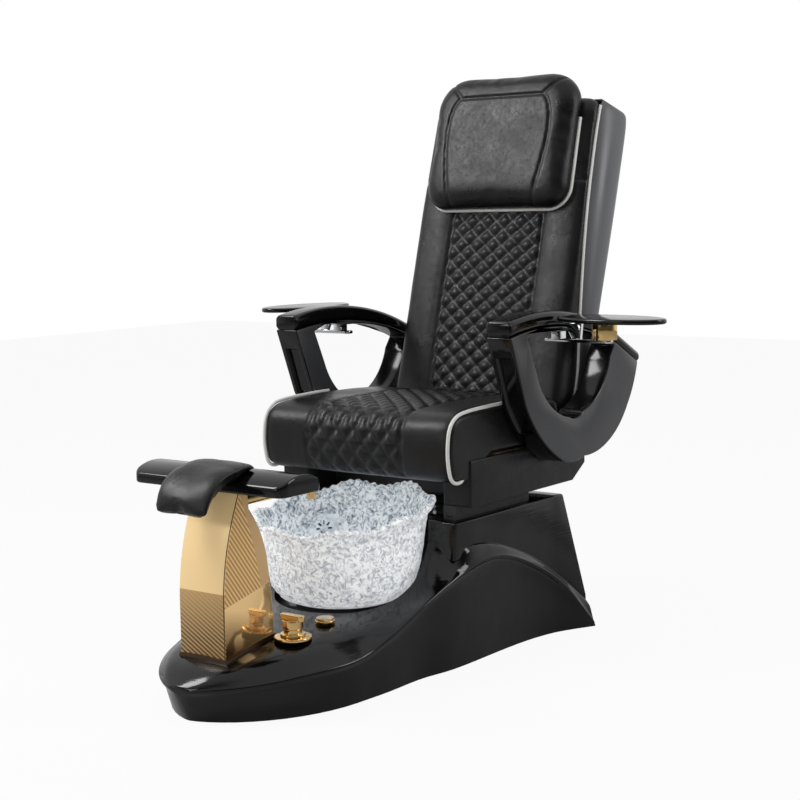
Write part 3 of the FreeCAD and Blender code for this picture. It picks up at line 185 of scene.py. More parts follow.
# Moulded base
# One glossy black moulding: a boat-shaped toe deck with a lip all round, and a pedestal whose
# sides sweep down from the seat. The bowl sits in a round well cut through both.
def effect_group(name, inputs, outputs):
    """Empty shader group with its sockets, and its two end nodes."""
    group = bpy.data.node_groups.new(name, "ShaderNodeTree")
    for label, value in inputs.items():
        kind = "NodeSocketColor" if isinstance(value, tuple) else "NodeSocketFloat"
        group.interface.new_socket(label, in_out="INPUT", socket_type=kind).default_value = value
    for label, kind in outputs.items():
        group.interface.new_socket(label, in_out="OUTPUT", socket_type="NodeSocket" + kind)
    return group, group.nodes.new("NodeGroupInput"), group.nodes.new("NodeGroupOutput")


def haze_group():
    """Soft uneven roughness, and the same cloud as a faint lightening of the colour."""
    group, into, out = effect_group(
        "surface_haze", {"Colour": (0, 0, 0, 1), "Scale": 6.0, "Low": 0.1, "High": 0.2, "Lift": 0.05},
        {"Colour": "Color", "Roughness": "Float"})
    place = group.nodes.new("ShaderNodeTexCoord")
    cloud = group.nodes.new("ShaderNodeTexNoise")
    cloud.inputs["Detail"].default_value = 5.0
    spread = group.nodes.new("ShaderNodeMapRange")
    spread.inputs["From Min"].default_value = 0.35
    spread.inputs["From Max"].default_value = 0.65
    lift = group.nodes.new("ShaderNodeMath")
    lift.operation = "MULTIPLY"
    paler = group.nodes.new("ShaderNodeMix")
    paler.data_type = "RGBA"
    paler.inputs["B"].default_value = (1, 1, 1, 1)
    group.links.new(place.outputs["Object"], cloud.inputs["Vector"])
    group.links.new(into.outputs["Scale"], cloud.inputs["Scale"])
    group.links.new(cloud.outputs["Fac"], spread.inputs["Value"])
    group.links.new(into.outputs["Low"], spread.inputs["To Min"])
    group.links.new(into.outputs["High"], spread.inputs["To Max"])
    group.links.new(cloud.outputs["Fac"], lift.inputs[0])
    group.links.new(into.outputs["Lift"], lift.inputs[1])
    group.links.new(lift.outputs[0], paler.inputs["Factor"])
    group.links.new(into.outputs["Colour"], paler.inputs["A"])
    group.links.new(paler.outputs["Result"], out.inputs["Colour"])
    group.links.new(spread.outputs["Result"], out.inputs["Roughness"])
    return group


def grain_group():
    """Pebbled grain of a leather cover, as a height."""
    group, into, out = effect_group("leather_grain", {"Scale": 700.0}, {"Height": "Float"})
    place = group.nodes.new("ShaderNodeTexCoord")
    pebbles = group.nodes.new("ShaderNodeTexVoronoi")
    pebbles.feature = "DISTANCE_TO_EDGE"
    rise = group.nodes.new("ShaderNodeMapRange")
    rise.inputs["From Max"].default_value = 0.35
    pores = group.nodes.new("ShaderNodeTexNoise")
    pores.inputs["Scale"].default_value = 90.0
    pores.inputs["Detail"].default_value = 6.0
    both = group.nodes.new("ShaderNodeMath")
    both.operation = "MULTIPLY"
    group.links.new(place.outputs["Object"], pebbles.inputs["Vector"])
    group.links.new(into.outputs["Scale"], pebbles.inputs["Scale"])
    group.links.new(place.outputs["Object"], pores.inputs["Vector"])
    group.links.new(pebbles.outputs["Distance"], rise.inputs["Value"])
    group.links.new(rise.outputs["Result"], both.inputs[0])
    group.links.new(pores.outputs["Fac"], both.inputs[1])
    group.links.new(both.outputs[0], out.inputs["Height"])
    return group


def ripple_group():
    """Long shallow waves that polished plastic and metal show in their reflections."""
    group, into, out = effect_group("polish_ripple", {"Scale": 12.0}, {"Height": "Float"})
    place = group.nodes.new("ShaderNodeTexCoord")
    wave = group.nodes.new("ShaderNodeTexNoise")
    wave.inputs["Detail"].default_value = 1.5
    group.links.new(place.outputs["Object"], wave.inputs["Vector"])
    group.links.new(into.outputs["Scale"], wave.inputs["Scale"])
    group.links.new(wave.outputs["Fac"], out.inputs["Height"])
    return group


surface_haze = haze_group()
leather_grain = grain_group()
polish_ripple = ripple_group()


def use_group(material, group, **values):
    """Places an effect group in a material with its own values."""
    node = material.node_tree.nodes.new("ShaderNodeGroup")
    node.node_tree = group
    for label, value in values.items():
        node.inputs[label].default_value = value
    return node


def finish(name, colour, rough, lift=0.02, haze=6.0, metallic=0.0, specular=0.5):
    """Material whose colour and roughness drift over the surface."""
    material = bpy.data.materials.new(name)
    material.use_nodes = True
    shader = material.node_tree.nodes["Principled BSDF"]
    shader.inputs["Metallic"].default_value = metallic
    shader.inputs["Specular IOR Level"].default_value = specular
    drift = use_group(material, surface_haze, Colour=(*colour, 1), Scale=haze,
                      Low=rough[0], High=rough[1], Lift=lift)
    material.node_tree.links.new(drift.outputs["Colour"], shader.inputs["Base Color"])
    material.node_tree.links.new(drift.outputs["Roughness"], shader.inputs["Roughness"])
    material.diffuse_color = (*colour, 1)
    return material


def relief(material, height, strength, distance):
    """Feeds a height into the material's bump, over any bump it has already."""
    nodes = material.node_tree.nodes
    bump = nodes.new("ShaderNodeBump")
    bump.inputs["Strength"].default_value = strength
    bump.inputs["Distance"].default_value = distance
    normal = nodes["Principled BSDF"].inputs["Normal"]
    if normal.is_linked:
        material.node_tree.links.new(normal.links[0].from_socket, bump.inputs["Normal"])
    material.node_tree.links.new(height, bump.inputs["Height"])
    material.node_tree.links.new(bump.outputs["Normal"], normal)


def gloss_black(name, rough, ripple_depth):
    """Polished black moulding with long shallow waves."""
    material = finish(name, (0.0025, 0.0025, 0.003), rough, lift=0.003, haze=4.0, specular=0.4)
    ripple = use_group(material, polish_ripple, Scale=9.0)
    relief(material, ripple.outputs["Height"], 0.5, ripple_depth)
    return material


def as_piece(name, form, body, slot, *materials, sharp=35):
    """Turns a finished form into a piece that rides on a body."""
    mesh = bpy.data.meshes.new(name)
    form.to_mesh(mesh)
    form.free()
    for material in materials:
        mesh.materials.append(material)
    mesh.shade_smooth()
    mesh.set_sharp_from_angle(angle=math.radians(sharp))
    piece = bpy.data.objects.new(name, mesh)
    bpy.context.scene.collection.objects.link(piece)
    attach(piece, body)
    return piece


def between(pairs, y):
    """Smooth value at y on a line given as (y, value) pairs."""
    if y <= pairs[0][0]:
        return pairs[0][1]
    if y >= pairs[-1][0]:
        return pairs[-1][1]
    k = max(i for i in range(len(pairs) - 1) if pairs[i][0] <= y)
    (y0, v0), (y1, v1) = pairs[k], pairs[k + 1]
    before = pairs[max(k - 1, 0)]
    after = pairs[min(k + 2, len(pairs) - 1)]
    slope0 = (v1 - before[1]) / (y1 - before[0])
    slope1 = (after[1] - v0) / (after[0] - y0)
    t = (y - y0) / (y1 - y0)
    span = y1 - y0
    return ((2 * t ** 3 - 3 * t ** 2 + 1) * v0 + (t ** 3 - 2 * t ** 2 + t) * span * slope0
            + (3 * t ** 2 - 2 * t ** 3) * v1 + (t ** 3 - t ** 2) * span * slope1)


def ring(form, points):
    """Closed loop of edges through points given in millimetres."""
    corners = [form.verts.new(Vector(p) / 1000) for p in points]
    return [form.edges.new((a, b)) for a, b in zip(corners, corners[1:] + corners[:1])]


def skinned(form, rings):
    """Skin between neighbouring loops, closed at both ends."""
    for here, there in zip(rings, rings[1:]):
        bmesh.ops.bridge_loops(form, edges=here + there)
    for end in (rings[0], rings[-1]):
        bmesh.ops.contextual_create(form, geom=end)
    bmesh.ops.recalc_face_normals(form, faces=form.faces)


nose_y = -610.0
flank_y = -266.0
pedestal_y = 50.0
rear_y = 572.0
rear_lean = 53.0
pedestal_top = 346.0
lip_half = [(-266, 238), (-161, 252), (-60, 262), (50, 270), (200, 275), (360, 286), (480, 302), (572, 322)]
foot_half = [(-266, 224), (-184, 230), (-56, 231), (50, 248), (272, 250), (360, 254), (430, 264), (480, 278),
             (572, 323)]
lip_height = [(-610, 75), (-500, 86), (-422, 94), (-266, 105), (-161, 143), (-60, 187), (50, 226), (130, 246),
              (200, 248), (272, 232), (360, 194), (430, 154), (480, 114), (572, 12)]
deck_height = [(-610, 78), (-525, 121), (-365, 148), (-240, 157), (-160, 162), (-60, 196), (0, 255),
               (50, 305)]
cove_height = [(50, 292), (130, 299), (200, 286), (272, 262), (360, 228), (430, 190), (480, 158), (572, 81)]
cove_half = [(50, 256), (360, 262), (430, 266), (480, 273), (572, 307)]
widest_lip = 238.0


def lip_at(y):
    """Half width over the lip, rounded off to the nose."""
    if y >= flank_y:
        return between(lip_half, y)
    return widest_lip * (1 - ((flank_y - y) / (flank_y - nose_y)) ** 1.8) ** 0.6


def foot_at(y):
    """Half width at the floor."""
    if y >= flank_y:
        return between(foot_half, y)
    share = (flank_y - y) / (flank_y - nose_y)
    return lip_at(y) - 18 * share - 14 * (1 - share)


def base_section(y):
    """Half outline of the base at y, from the middle of the deck to the middle of its underside."""
    share = max(flank_y - y, 0) / (flank_y - nose_y)
    lip_x, lip_z, foot_x = lip_at(y), between(lip_height, y), foot_at(y)
    drop = min(8.0, 0.3 * lip_z)
    if y <= pedestal_y:
        top_z = between(deck_height, y)
        shoulder = (0.72 * lip_x, top_z - 4)
    else:
        top_z = between(cove_height, y) + 6
        shoulder = (between(cove_half, y) - 2, top_z - 6)
    middle = (0.5 * (shoulder[0] + lip_x) + 1, shoulder[1] + 0.52 * (lip_z - shoulder[1]) - 2)
    under = max(min(foot_x + 5, lip_x - 1), 1)
    outline = [(0, top_z), (0.45 * shoulder[0], top_z - 1), shoulder, middle,
               (lip_x - 4, lip_z + 1.5), (lip_x, lip_z - 1), (lip_x - 0.5, lip_z - drop),
               (under, lip_z - 1.7 * drop),
               (0.5 * (under + foot_x) + 3 * min(1, lip_z / 100), 0.45 * lip_z), (foot_x, 0), (0, 0)]

    def place(x, z):
        lean = rear_lean * z / pedestal_top if y >= rear_y else 0
        return (x, y + 32 * share ** 2 * (1 - z / lip_z) - lean, z)
    half = [place(x, z) for x, z in outline]
    return half + [(-x, yy, z) for x, yy, z in reversed(half) if x]


def worked(piece):
    """The piece's mesh as its modifiers leave it, with none left."""
    graph = bpy.context.evaluated_depsgraph_get()
    mesh = bpy.data.meshes.new_from_object(piece.evaluated_get(graph))
    piece.modifiers.clear()
    piece.data = mesh
    return mesh


def smoothed(piece, levels):
    """Live subdivision with the same levels on screen and in the render."""
    subdivision = piece.modifiers.new("smooth", "SUBSURF")
    subdivision.levels = levels
    subdivision.render_levels = levels


def loose_object(name, form):
    """Object made from a finished form."""
    mesh = bpy.data.meshes.new(name)
    form.to_mesh(mesh)
    form.free()
    thing = bpy.data.objects.new(name, mesh)
    bpy.context.scene.collection.objects.link(thing)
    return thing


def carved(piece, tool, operation):
    """Joins or cuts the piece with a closed form, which is then thrown away."""
    cut = piece.modifiers.new("carve", "BOOLEAN")
    cut.operation = operation
    cut.solver = "EXACT"
    cut.object = tool
    bpy.context.view_layer.update()
    worked(piece)
    bpy.data.objects.remove(tool)


deck_form = bmesh.new()
deck_steps = [-606, -600, -590, -574, -552, -525, -495, -462, -428, -392, -355, -318, -281, -245, -210, -175,
              -140, -105, -70, -38, -8, 22, 50, 82, 118, 156, 196, 236, 276, 316, 356, 394, 430, 462, 492, 520,
              546, 572]
skinned(deck_form, [ring(deck_form, base_section(y)) for y in deck_steps])
crease = deck_form.edges.layers.float.get("crease_edge") or deck_form.edges.layers.float.new("crease_edge")
for edge in deck_form.edges:
    low = max(v.co.z for v in edge.verts) < 0.0005
    rear = min(v.co.y for v in edge.verts) > 0.5715 - rear_lean / pedestal_top * 0.36 and all(
        abs(v.co.y - (rear_y - rear_lean * v.co.z * 1000 / pedestal_top) / 1000) < 1e-4 for v in edge.verts)
    if low or rear:
        edge[crease] = 1.0
base_cover = loose_object("base_cover", deck_form)
smoothed(base_cover, 2)
worked(base_cover)

block_form = bmesh.new()
block_rings = []
for y in (pedestal_y, 130, 200, 272, 360, 430, 480, rear_y - 0.5):
    cove_z = between(cove_height, y)
    foot_z = cove_z - 40
    half_foot = between(cove_half, y) - 3
    half_top = 260.0 if y < 400 else 260.0 + 3 * (y - 400) / 172
    foot_y, cove_y, top_y = (y - (rear_lean * z / pedestal_top if y > 500 else 0)
                             for z in (foot_z, cove_z, pedestal_top))
    block_rings.append(ring(block_form, [
        (-half_foot, foot_y, foot_z), (-half_foot - 2, cove_y, cove_z), (-half_top, top_y, pedestal_top),
        (half_top, top_y, pedestal_top), (half_foot + 2, cove_y, cove_z), (half_foot, foot_y, foot_z)]))
skinned(block_form, block_rings)
sharp_edges = [e for e in block_form.edges if e.calc_face_angle(0) > 0.7]
bmesh.ops.bevel(block_form, geom=sharp_edges, offset=0.006, segments=3, profile=0.5, affect="EDGES",
                material=-1)
carved(base_cover, loose_object("pedestal_block", block_form), "UNION")

bowl_centre = Vector((0, -0.038, 0))
merge_gap = 0.00005
well_form = bmesh.new()
well_line = [(0, 157), (160, 157), (168, 161), (184, 190), (194, 215), (199, 290), (204, 420), (0, 420)]
well_corners = [well_form.verts.new((r / 1000, bowl_centre.y, z / 1000)) for r, z in well_line]
well_edges = [well_form.edges.new(pair) for pair in zip(well_corners, well_corners[1:])]
bmesh.ops.spin(well_form, geom=well_corners + well_edges, cent=bowl_centre, axis=(0, 0, 1),
               angle=2 * math.pi, steps=120, use_merge=True)
bmesh.ops.remove_doubles(well_form, verts=well_form.verts, dist=merge_gap)
bmesh.ops.recalc_face_normals(well_form, faces=well_form.faces)
carved(base_cover, loose_object("bowl_well", well_form), "DIFFERENCE")

base_black = gloss_black("base_black_gloss", (0.07, 0.13), 0.006)
base_nodes, base_links = base_black.node_tree.nodes, base_black.node_tree.links
streak_place = base_nodes.new("ShaderNodeTexCoord")
streak_turn = base_nodes.new("ShaderNodeMapping")
streak_turn.inputs["Scale"].default_value = (30, 5, 240)
streaks = base_nodes.new("ShaderNodeTexNoise")
streaks.inputs["Scale"].default_value = 1.0
streaks.inputs["Detail"].default_value = 3.0
base_links.new(streak_place.outputs["Object"], streak_turn.inputs["Vector"])
base_links.new(streak_turn.outputs["Vector"], streaks.inputs["Vector"])
relief(base_black, streaks.outputs["Fac"], 0.12, 0.002)

base_cover.data.materials.clear()
base_cover.data.materials.append(base_black)
base_cover.data.shade_smooth()
base_cover.data.set_sharp_from_angle(angle=math.radians(32))
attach(base_cover, "base")
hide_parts("base_shell")


# Glass foot bowl
# Thick clear glass, crackled by hand so that its wall breaks the light, with a ruffled rim of
# melted beads. It stands on a rubber ring over the drain.
def reckon(material, operation, *values):
    """Result of one sum on numbers or sockets in a material."""
    node = material.node_tree.nodes.new("ShaderNodeMath")
    node.operation = operation
    for socket, value in zip(node.inputs, values):
        if isinstance(value, (int, float)):
            socket.default_value = value
        else:
            material.node_tree.links.new(value, socket)
    return node.outputs[0]


def blended(material, share, first, second):
    """Mix of two colours, each given as numbers or as a socket."""
    node = material.node_tree.nodes.new("ShaderNodeMix")
    node.data_type = "RGBA"
    material.node_tree.links.new(share, node.inputs["Factor"])
    for label, value in (("A", first), ("B", second)):
        if isinstance(value, tuple):
            node.inputs[label].default_value = (*value, 1)
        else:
            material.node_tree.links.new(value, node.inputs[label])
    return node.outputs["Result"]


crackled_glass = finish("crackled_glass", (0.9, 0.93, 0.95), (0.08, 0.16), lift=0.3, haze=40.0)
glass_nodes, glass_links = crackled_glass.node_tree.nodes, crackled_glass.node_tree.links
glass_shader = glass_nodes["Principled BSDF"]
glass_shader.inputs["Transmission Weight"].default_value = 0.3
glass_shader.inputs["IOR"].default_value = 1.45
# The glass glows faintly with its crackle colour, a painted light that brightens the bowl.
glass_shader.inputs["Emission Strength"].default_value = 0.32
crackle_place = glass_nodes.new("ShaderNodeTexCoord")
crackle_lines = glass_nodes.new("ShaderNodeTexNoise")
crackle_lines.inputs["Scale"].default_value = 60.0
crackle_lines.inputs["Detail"].default_value = 2.5
crackle_lines.inputs["Distortion"].default_value = 2.2
crackle_facets = glass_nodes.new("ShaderNodeTexVoronoi")
crackle_facets.inputs["Scale"].default_value = 95.0
glass_links.new(crackle_place.outputs["Object"], crackle_lines.inputs["Vector"])
glass_links.new(crackle_place.outputs["Object"], crackle_facets.inputs["Vector"])
crackle_rise = reckon(crackled_glass, "MULTIPLY_ADD", crackle_lines.outputs["Fac"], 4.0, -0.85)
crackle_tone = reckon(crackled_glass, "MULTIPLY_ADD", crackle_facets.outputs["Distance"], -0.8, crackle_rise)
crackle_tone.node.use_clamp = True
# Painted shade: the inner wall of the bowl takes a darker, bluer crackle than the outer wall.
wall_facing = glass_nodes.new("ShaderNodeNewGeometry")
wall_reach = glass_nodes.new("ShaderNodeVectorMath")
wall_reach.operation = "MULTIPLY"
wall_away = glass_nodes.new("ShaderNodeVectorMath")
wall_away.operation = "DOT_PRODUCT"
wall_away.inputs[1].default_value = (1.0, 1.0, 0.0)
glass_links.new(crackle_place.outputs["Object"], wall_reach.inputs[0])
glass_links.new(wall_facing.outputs["Normal"], wall_reach.inputs[1])
glass_links.new(wall_reach.outputs["Vector"], wall_away.inputs[0])
inner_shade_mask = reckon(crackled_glass, "LESS_THAN", wall_away.outputs["Value"], -0.02)
outer_crackle = blended(crackled_glass, crackle_tone, (0.42, 0.44, 0.49), (1.0, 1.0, 1.0))
shaded_inner_crackle = blended(crackled_glass, crackle_tone, (0.13, 0.17, 0.22), (0.82, 0.86, 0.88))
crackle_and_inner_shade = blended(crackled_glass, inner_shade_mask, outer_crackle, shaded_inner_crackle)
glass_links.new(crackle_and_inner_shade, glass_shader.inputs["Base Color"])
glass_links.new(crackle_and_inner_shade, glass_shader.inputs["Emission Color"])
relief(crackled_glass, crackle_tone, 0.7, 0.004)

bowl_line = [(0, 160), (60, 160), (112, 160), (124, 161), (148, 171), (169, 196), (181, 238), (187, 280),
             (191, 330), (194, 356), (200, 376), (207, 390), (210, 396), (208, 401), (203, 400), (199, 393),
             (193, 377), (187, 355), (184, 330), (180, 280), (174, 238), (162, 200), (142, 179), (114, 168),
             (60, 167), (0, 167)]
bowl_form = bmesh.new()
bowl_corners = [bowl_form.verts.new((r / 1000, bowl_centre.y, z / 1000)) for r, z in bowl_line]
bowl_edges = [bowl_form.edges.new(pair) for pair in zip(bowl_corners, bowl_corners[1:])]
bmesh.ops.subdivide_edges(bowl_form, edges=bowl_edges, cuts=3)
bmesh.ops.spin(bowl_form, geom=bowl_form.verts[:] + bowl_form.edges[:], cent=bowl_centre, axis=(0, 0, 1),
               angle=2 * math.pi, steps=300, use_merge=True)
bmesh.ops.remove_doubles(bowl_form, verts=bowl_form.verts, dist=merge_gap)
bmesh.ops.recalc_face_normals(bowl_form, faces=bowl_form.faces)
bowl_form.normal_update()
lobes, lobe_turn, beads = 8, math.radians(33), 31
foot_radius, drain_radius = 0.12, 0.0215
for vert in bowl_form.verts:
    flat = Vector((vert.co.x, vert.co.y, 0)) - bowl_centre
    height = vert.co.z
    bearing = math.atan2(flat.y, flat.x)
    outward = flat.normalized() if flat.length > 0 else Vector((0, 0, 0))
    if height > 0.172 and flat.length > foot_radius:
        lump = noise.voronoi(vert.co * 85)[0]
        vert.co += vert.normal * (0.0034 * (lump[1] - lump[0]) - 0.0012)
    rise = max(0.0, min(1.0, (height - 0.30) / 0.098))
    wave = math.cos(lobes * (bearing - lobe_turn))
    vert.co.z += (0.027 * math.sin(bearing) + 0.007 * wave - 0.028) * rise ** 1.2
    if flat.length > foot_radius:
        vert.co.y -= 0.009 * max(0.0, min(1.0, (0.31 - height) / 0.11))
    vert.co += outward * 0.004 * wave * rise
    if height > 0.386:
        vert.co += vert.normal * 0.0048 * math.sin(beads * bearing) ** 2
drain_hole = [v for v in bowl_form.verts if (Vector((v.co.x, v.co.y, 0)) - bowl_centre).length < drain_radius]
bmesh.ops.delete(bowl_form, geom=drain_hole, context="VERTS")
glass_cover = as_piece("glass_bowl_cover", bowl_form, "base", "bowl_glass", crackled_glass, sharp=60)
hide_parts("glass_bowl")

chrome = finish("polished_chrome", (0.78, 0.79, 0.81), (0.04, 0.1), metallic=1.0, haze=20)
rubber = finish("black_rubber", (0.02, 0.02, 0.02), (0.7, 0.85), haze=30)


def dress(material, *names):
    """Gives solids that keep their own shape a finish."""
    for name in names:
        solid = frame["nodes"][name]
        solid.data.materials.clear()
        solid.data.materials.append(material)


dress(rubber, "bowl_gasket")
dress(chrome, "drain_fitting", "jet_cover")
jet_plastic = finish("jet_plastic", (0.2, 0.3, 0.5), (0.3, 0.45), haze=30)
dress(jet_plastic, "jet_impeller")


# Gold column and its brown foot
# Folded sheet, gold plated: satin in front, with slanted stripes of painted reflection on the sides
# and on the lower front, and a mirror low on the sides that holds a painted dark reflection at its
# foot. The sides are painted a darker gold than the front, as shade, and the column glows faintly
# with its own colour, a painted light. A brown strip closes the joint with the deck.
gold = finish("column_gold", (0.9, 0.66, 0.33), (0.3, 0.4), lift=0.05, haze=7.0)
gold_nodes, gold_links = gold.node_tree.nodes, gold.node_tree.links
gold_shader = gold_nodes["Principled BSDF"]
gold_place = gold_nodes.new("ShaderNodeTexCoord")
gold_parts = gold_nodes.new("ShaderNodeSeparateXYZ")
gold_links.new(gold_place.outputs["Object"], gold_parts.inputs["Vector"])
gold_x, gold_y, gold_z = gold_parts.outputs


def painted_stripes(across, share_across, share_up, pitch):
    """Slanted stripes of painted reflection as a value from 0 to 1."""
    line = reckon(gold, "ADD", reckon(gold, "MULTIPLY", across, share_across),
                  reckon(gold, "MULTIPLY", gold_z, share_up))
    wave = reckon(gold, "SINE", reckon(gold, "MULTIPLY", line, 2 * math.pi / pitch))
    return reckon(gold, "MULTIPLY_ADD", wave, 0.5, 0.5)


# The slanted stripes on the gold are painted reflection, drawn in the colour only, with no relief.
stripe_pitch = 0.0085
on_side = reckon(gold, "GREATER_THAN", reckon(gold, "ABSOLUTE", gold_x), 0.0655)
front_low = reckon(gold, "LESS_THAN", gold_z, 0.268)
side_split = reckon(gold, "MULTIPLY_ADD", gold_y, 0.216, 0.352)
side_low = reckon(gold, "MULTIPLY", on_side, reckon(gold, "LESS_THAN", gold_z, side_split))
stripe_fade_up = reckon(gold, "MULTIPLY_ADD", gold_z, -9.0, 2.5)
stripe_fade_up.node.use_clamp = True
# Painted reflection: slanted dark stripes on the lower front, strongest at the foot and fading upwards.
front_stripe_share = reckon(gold, "MULTIPLY", painted_stripes(gold_x, 0.49, 0.87, stripe_pitch), stripe_fade_up)
side_stripe_share = painted_stripes(gold_y, 0.795, 0.607, stripe_pitch)
joint = reckon(gold, "COMPARE", gold_x, 0.0628, 0.0016)
above_foot = reckon(gold, "POWER", reckon(gold, "SUBTRACT", gold_z, 0.118), 2.0)
rear_edge = reckon(gold, "GREATER_THAN", gold_y, reckon(gold, "MULTIPLY_ADD", above_foot, -0.56, -0.397))
front_stripe_reflection = blended(gold, front_stripe_share, (0.56, 0.36, 0.15), (0.07, 0.03, 0.01))
front_colour = blended(gold, front_low, (1.0, 0.72, 0.36), front_stripe_reflection)
front_colour = blended(gold, joint, front_colour, (0.1, 0.05, 0.015))
# Painted reflection: slanted bright and dark stripes on the sides.
side_colour = blended(gold, side_stripe_share, (0.95, 0.62, 0.27), (0.4, 0.22, 0.07))
side_colour = blended(gold, rear_edge, side_colour, (0.62, 0.4, 0.18))
# Painted reflection low on the sides: dark brown at the foot, lightening upwards and towards the rear.
low_reflection_ramp = reckon(gold, "MULTIPLY_ADD", gold_z, 11.0, reckon(gold, "MULTIPLY_ADD", gold_y, 2.0, -0.55))
low_reflection_ramp.node.use_clamp = True
low_side_reflection = blended(gold, low_reflection_ramp, (0.13, 0.06, 0.02), (1.0, 0.68, 0.32))
side_colour = blended(gold, side_low, side_colour, low_side_reflection)
# The sides take a darker gold than the front: painted shade on one plated sheet.
gold_colour = blended(gold, on_side, front_colour, side_colour)
gold_links.new(gold_colour, gold_shader.inputs["Base Color"])
# The same colour also feeds a faint glow, a painted light on the column.
gold_links.new(gold_colour, gold_shader.inputs["Emission Color"])
gold_shader.inputs["Emission Strength"].default_value = 0.16
gold_links.new(reckon(gold, "MULTIPLY_ADD", side_low, 0.75, 0.22), gold_shader.inputs["Metallic"])
gold_links.new(reckon(gold, "MULTIPLY_ADD", side_low, -0.28, 0.36), gold_shader.inputs["Roughness"])
bronze = finish("bronze_trim", (0.07, 0.035, 0.015), (0.25, 0.4), metallic=0.6)
plain_gold = finish("plain_gold", (0.83, 0.56, 0.22), (0.05, 0.12), lift=0.05, haze=30.0, metallic=1.0)


def eased(node, name, width, slot, *materials, segments=2, angle=35, sides=False, merged=True):
    """Copy of a solid with its edges rounded.

    With sides, faces across the chair get the second finish. Without merged, flat faces keep their
    triangles, which a face with a recess in it needs.
    """
    form = bmesh.new()
    form.from_mesh(frame["nodes"][node].data)
    bmesh.ops.remove_doubles(form, verts=form.verts, dist=0.00004)
    if merged:
        bmesh.ops.dissolve_limit(form, angle_limit=math.radians(0.8), verts=form.verts, edges=form.edges)
    hard = [e for e in form.edges if len(e.link_faces) == 2 and e.calc_face_angle(0) > math.radians(angle)]
    bmesh.ops.bevel(form, geom=hard, offset=width, segments=segments, profile=0.5, affect="EDGES",
                    material=-1)
    if sides:
        for face in form.faces:
            face.material_index = 1 if abs(face.normal.x) > 0.9 else 0
    piece = as_piece(name, form, frame["nodes"][node]["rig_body"], slot, *materials)
    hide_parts(node)
    return piece


eased("column_shell", "column_cover", 0.0012, "mirror_gold", gold)
dress(bronze, "column_foot_trim")
eased("water_spout", "spout_cover", 0.0008, "mirror_gold", plain_gold)


# Mixer knob and pump button
# Turned brass with a waist and a wing lever on a round flange, and beside it a push button in
# a thin ring. Both are gold plated.
eased("knob_escutcheon", "knob_flange", 0.002, "mirror_gold", plain_gold, segments=3)
eased("mixer_knob", "knob_body", 0.0015, "mirror_gold", plain_gold, segments=3)
eased("button_bezel", "button_ring", 0.001, "mirror_gold", plain_gold)
button_silver = finish("button_silver", (0.8, 0.62, 0.42), (0.12, 0.2), metallic=0.8, haze=40)
eased("pump_button", "button_cap", 0.001, "button_plastic", button_silver, segments=3)


# Footrest bar and saddle
# A glossy black bar with cut corners, and over it a calf pad in black leatherette that hangs
# forward over the toes.
bar_black = gloss_black("bar_black_gloss", (0.08, 0.16), 0.002)
eased("footrest_bar", "footrest_bar_cover", 0.005, "black_gloss", bar_black, segments=4, angle=25)


def leatherette(name, colour, scale, depth):
    """Pebbled black cover with soft creases."""
    material = finish(name, colour, (0.27, 0.38), lift=0.006, haze=14.0, specular=0.34)
    grain = use_group(material, leather_grain, Scale=scale)
    relief(material, grain.outputs["Height"], 0.5, depth)
    creases = use_group(material, polish_ripple, Scale=34.0)
    relief(material, creases.outputs["Height"], 0.2, 0.004)
    return material


black_leather = leatherette("black_leatherette", (0.005, 0.005, 0.0055), 620.0, 0.0004)


def stuffed(node, name, voxel, pressure, cap, shrink, slot, material):
    """Copy of a padded solid with its cover blown up over the foam, in the solid's own space."""
    form = bmesh.new()
    form.from_mesh(frame["nodes"][node].data)
    bmesh.ops.remove_doubles(form, verts=form.verts, dist=0.00004)
    piece = as_piece(name, form, frame["nodes"][node]["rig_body"], slot, material, sharp=180)
    remesh = piece.modifiers.new("even", "REMESH")
    remesh.mode = "VOXEL"
    remesh.voxel_size = voxel
    relax = piece.modifiers.new("relax", "SMOOTH")
    relax.factor = 0.6
    relax.iterations = 5
    bpy.context.view_layer.update()
    mesh = worked(piece)
    inwards = [v.co - v.normal * shrink for v in mesh.vertices]
    for vert, place in zip(mesh.vertices, inwards):
        vert.co = place
    cloth = piece.modifiers.new("cover", "CLOTH")
    cloth.settings.use_pressure = True
    cloth.settings.uniform_pressure_force = pressure
    cloth.settings.effector_weights.gravity = 0
    cloth.point_cache.frame_start = 1
    cloth.point_cache.frame_end = 20
    for step in range(1, 21):
        bpy.context.scene.frame_set(step)
    blown = worked(piece)
    for vert, place in zip(blown.vertices, inwards):
        move = vert.co - place
        if move.length > cap:
            vert.co = place + move.normalized() * cap
    bpy.context.scene.frame_set(1)
    piece.data.materials.clear()
    piece.data.materials.append(material)
    piece.data.shade_smooth()
    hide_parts(node)
    return piece


saddle = stuffed("saddle_pad", "saddle_cover", 0.005, 3.0, 0.008, 0.003, "leatherette_black", black_leather)
smoothed(saddle, 1)


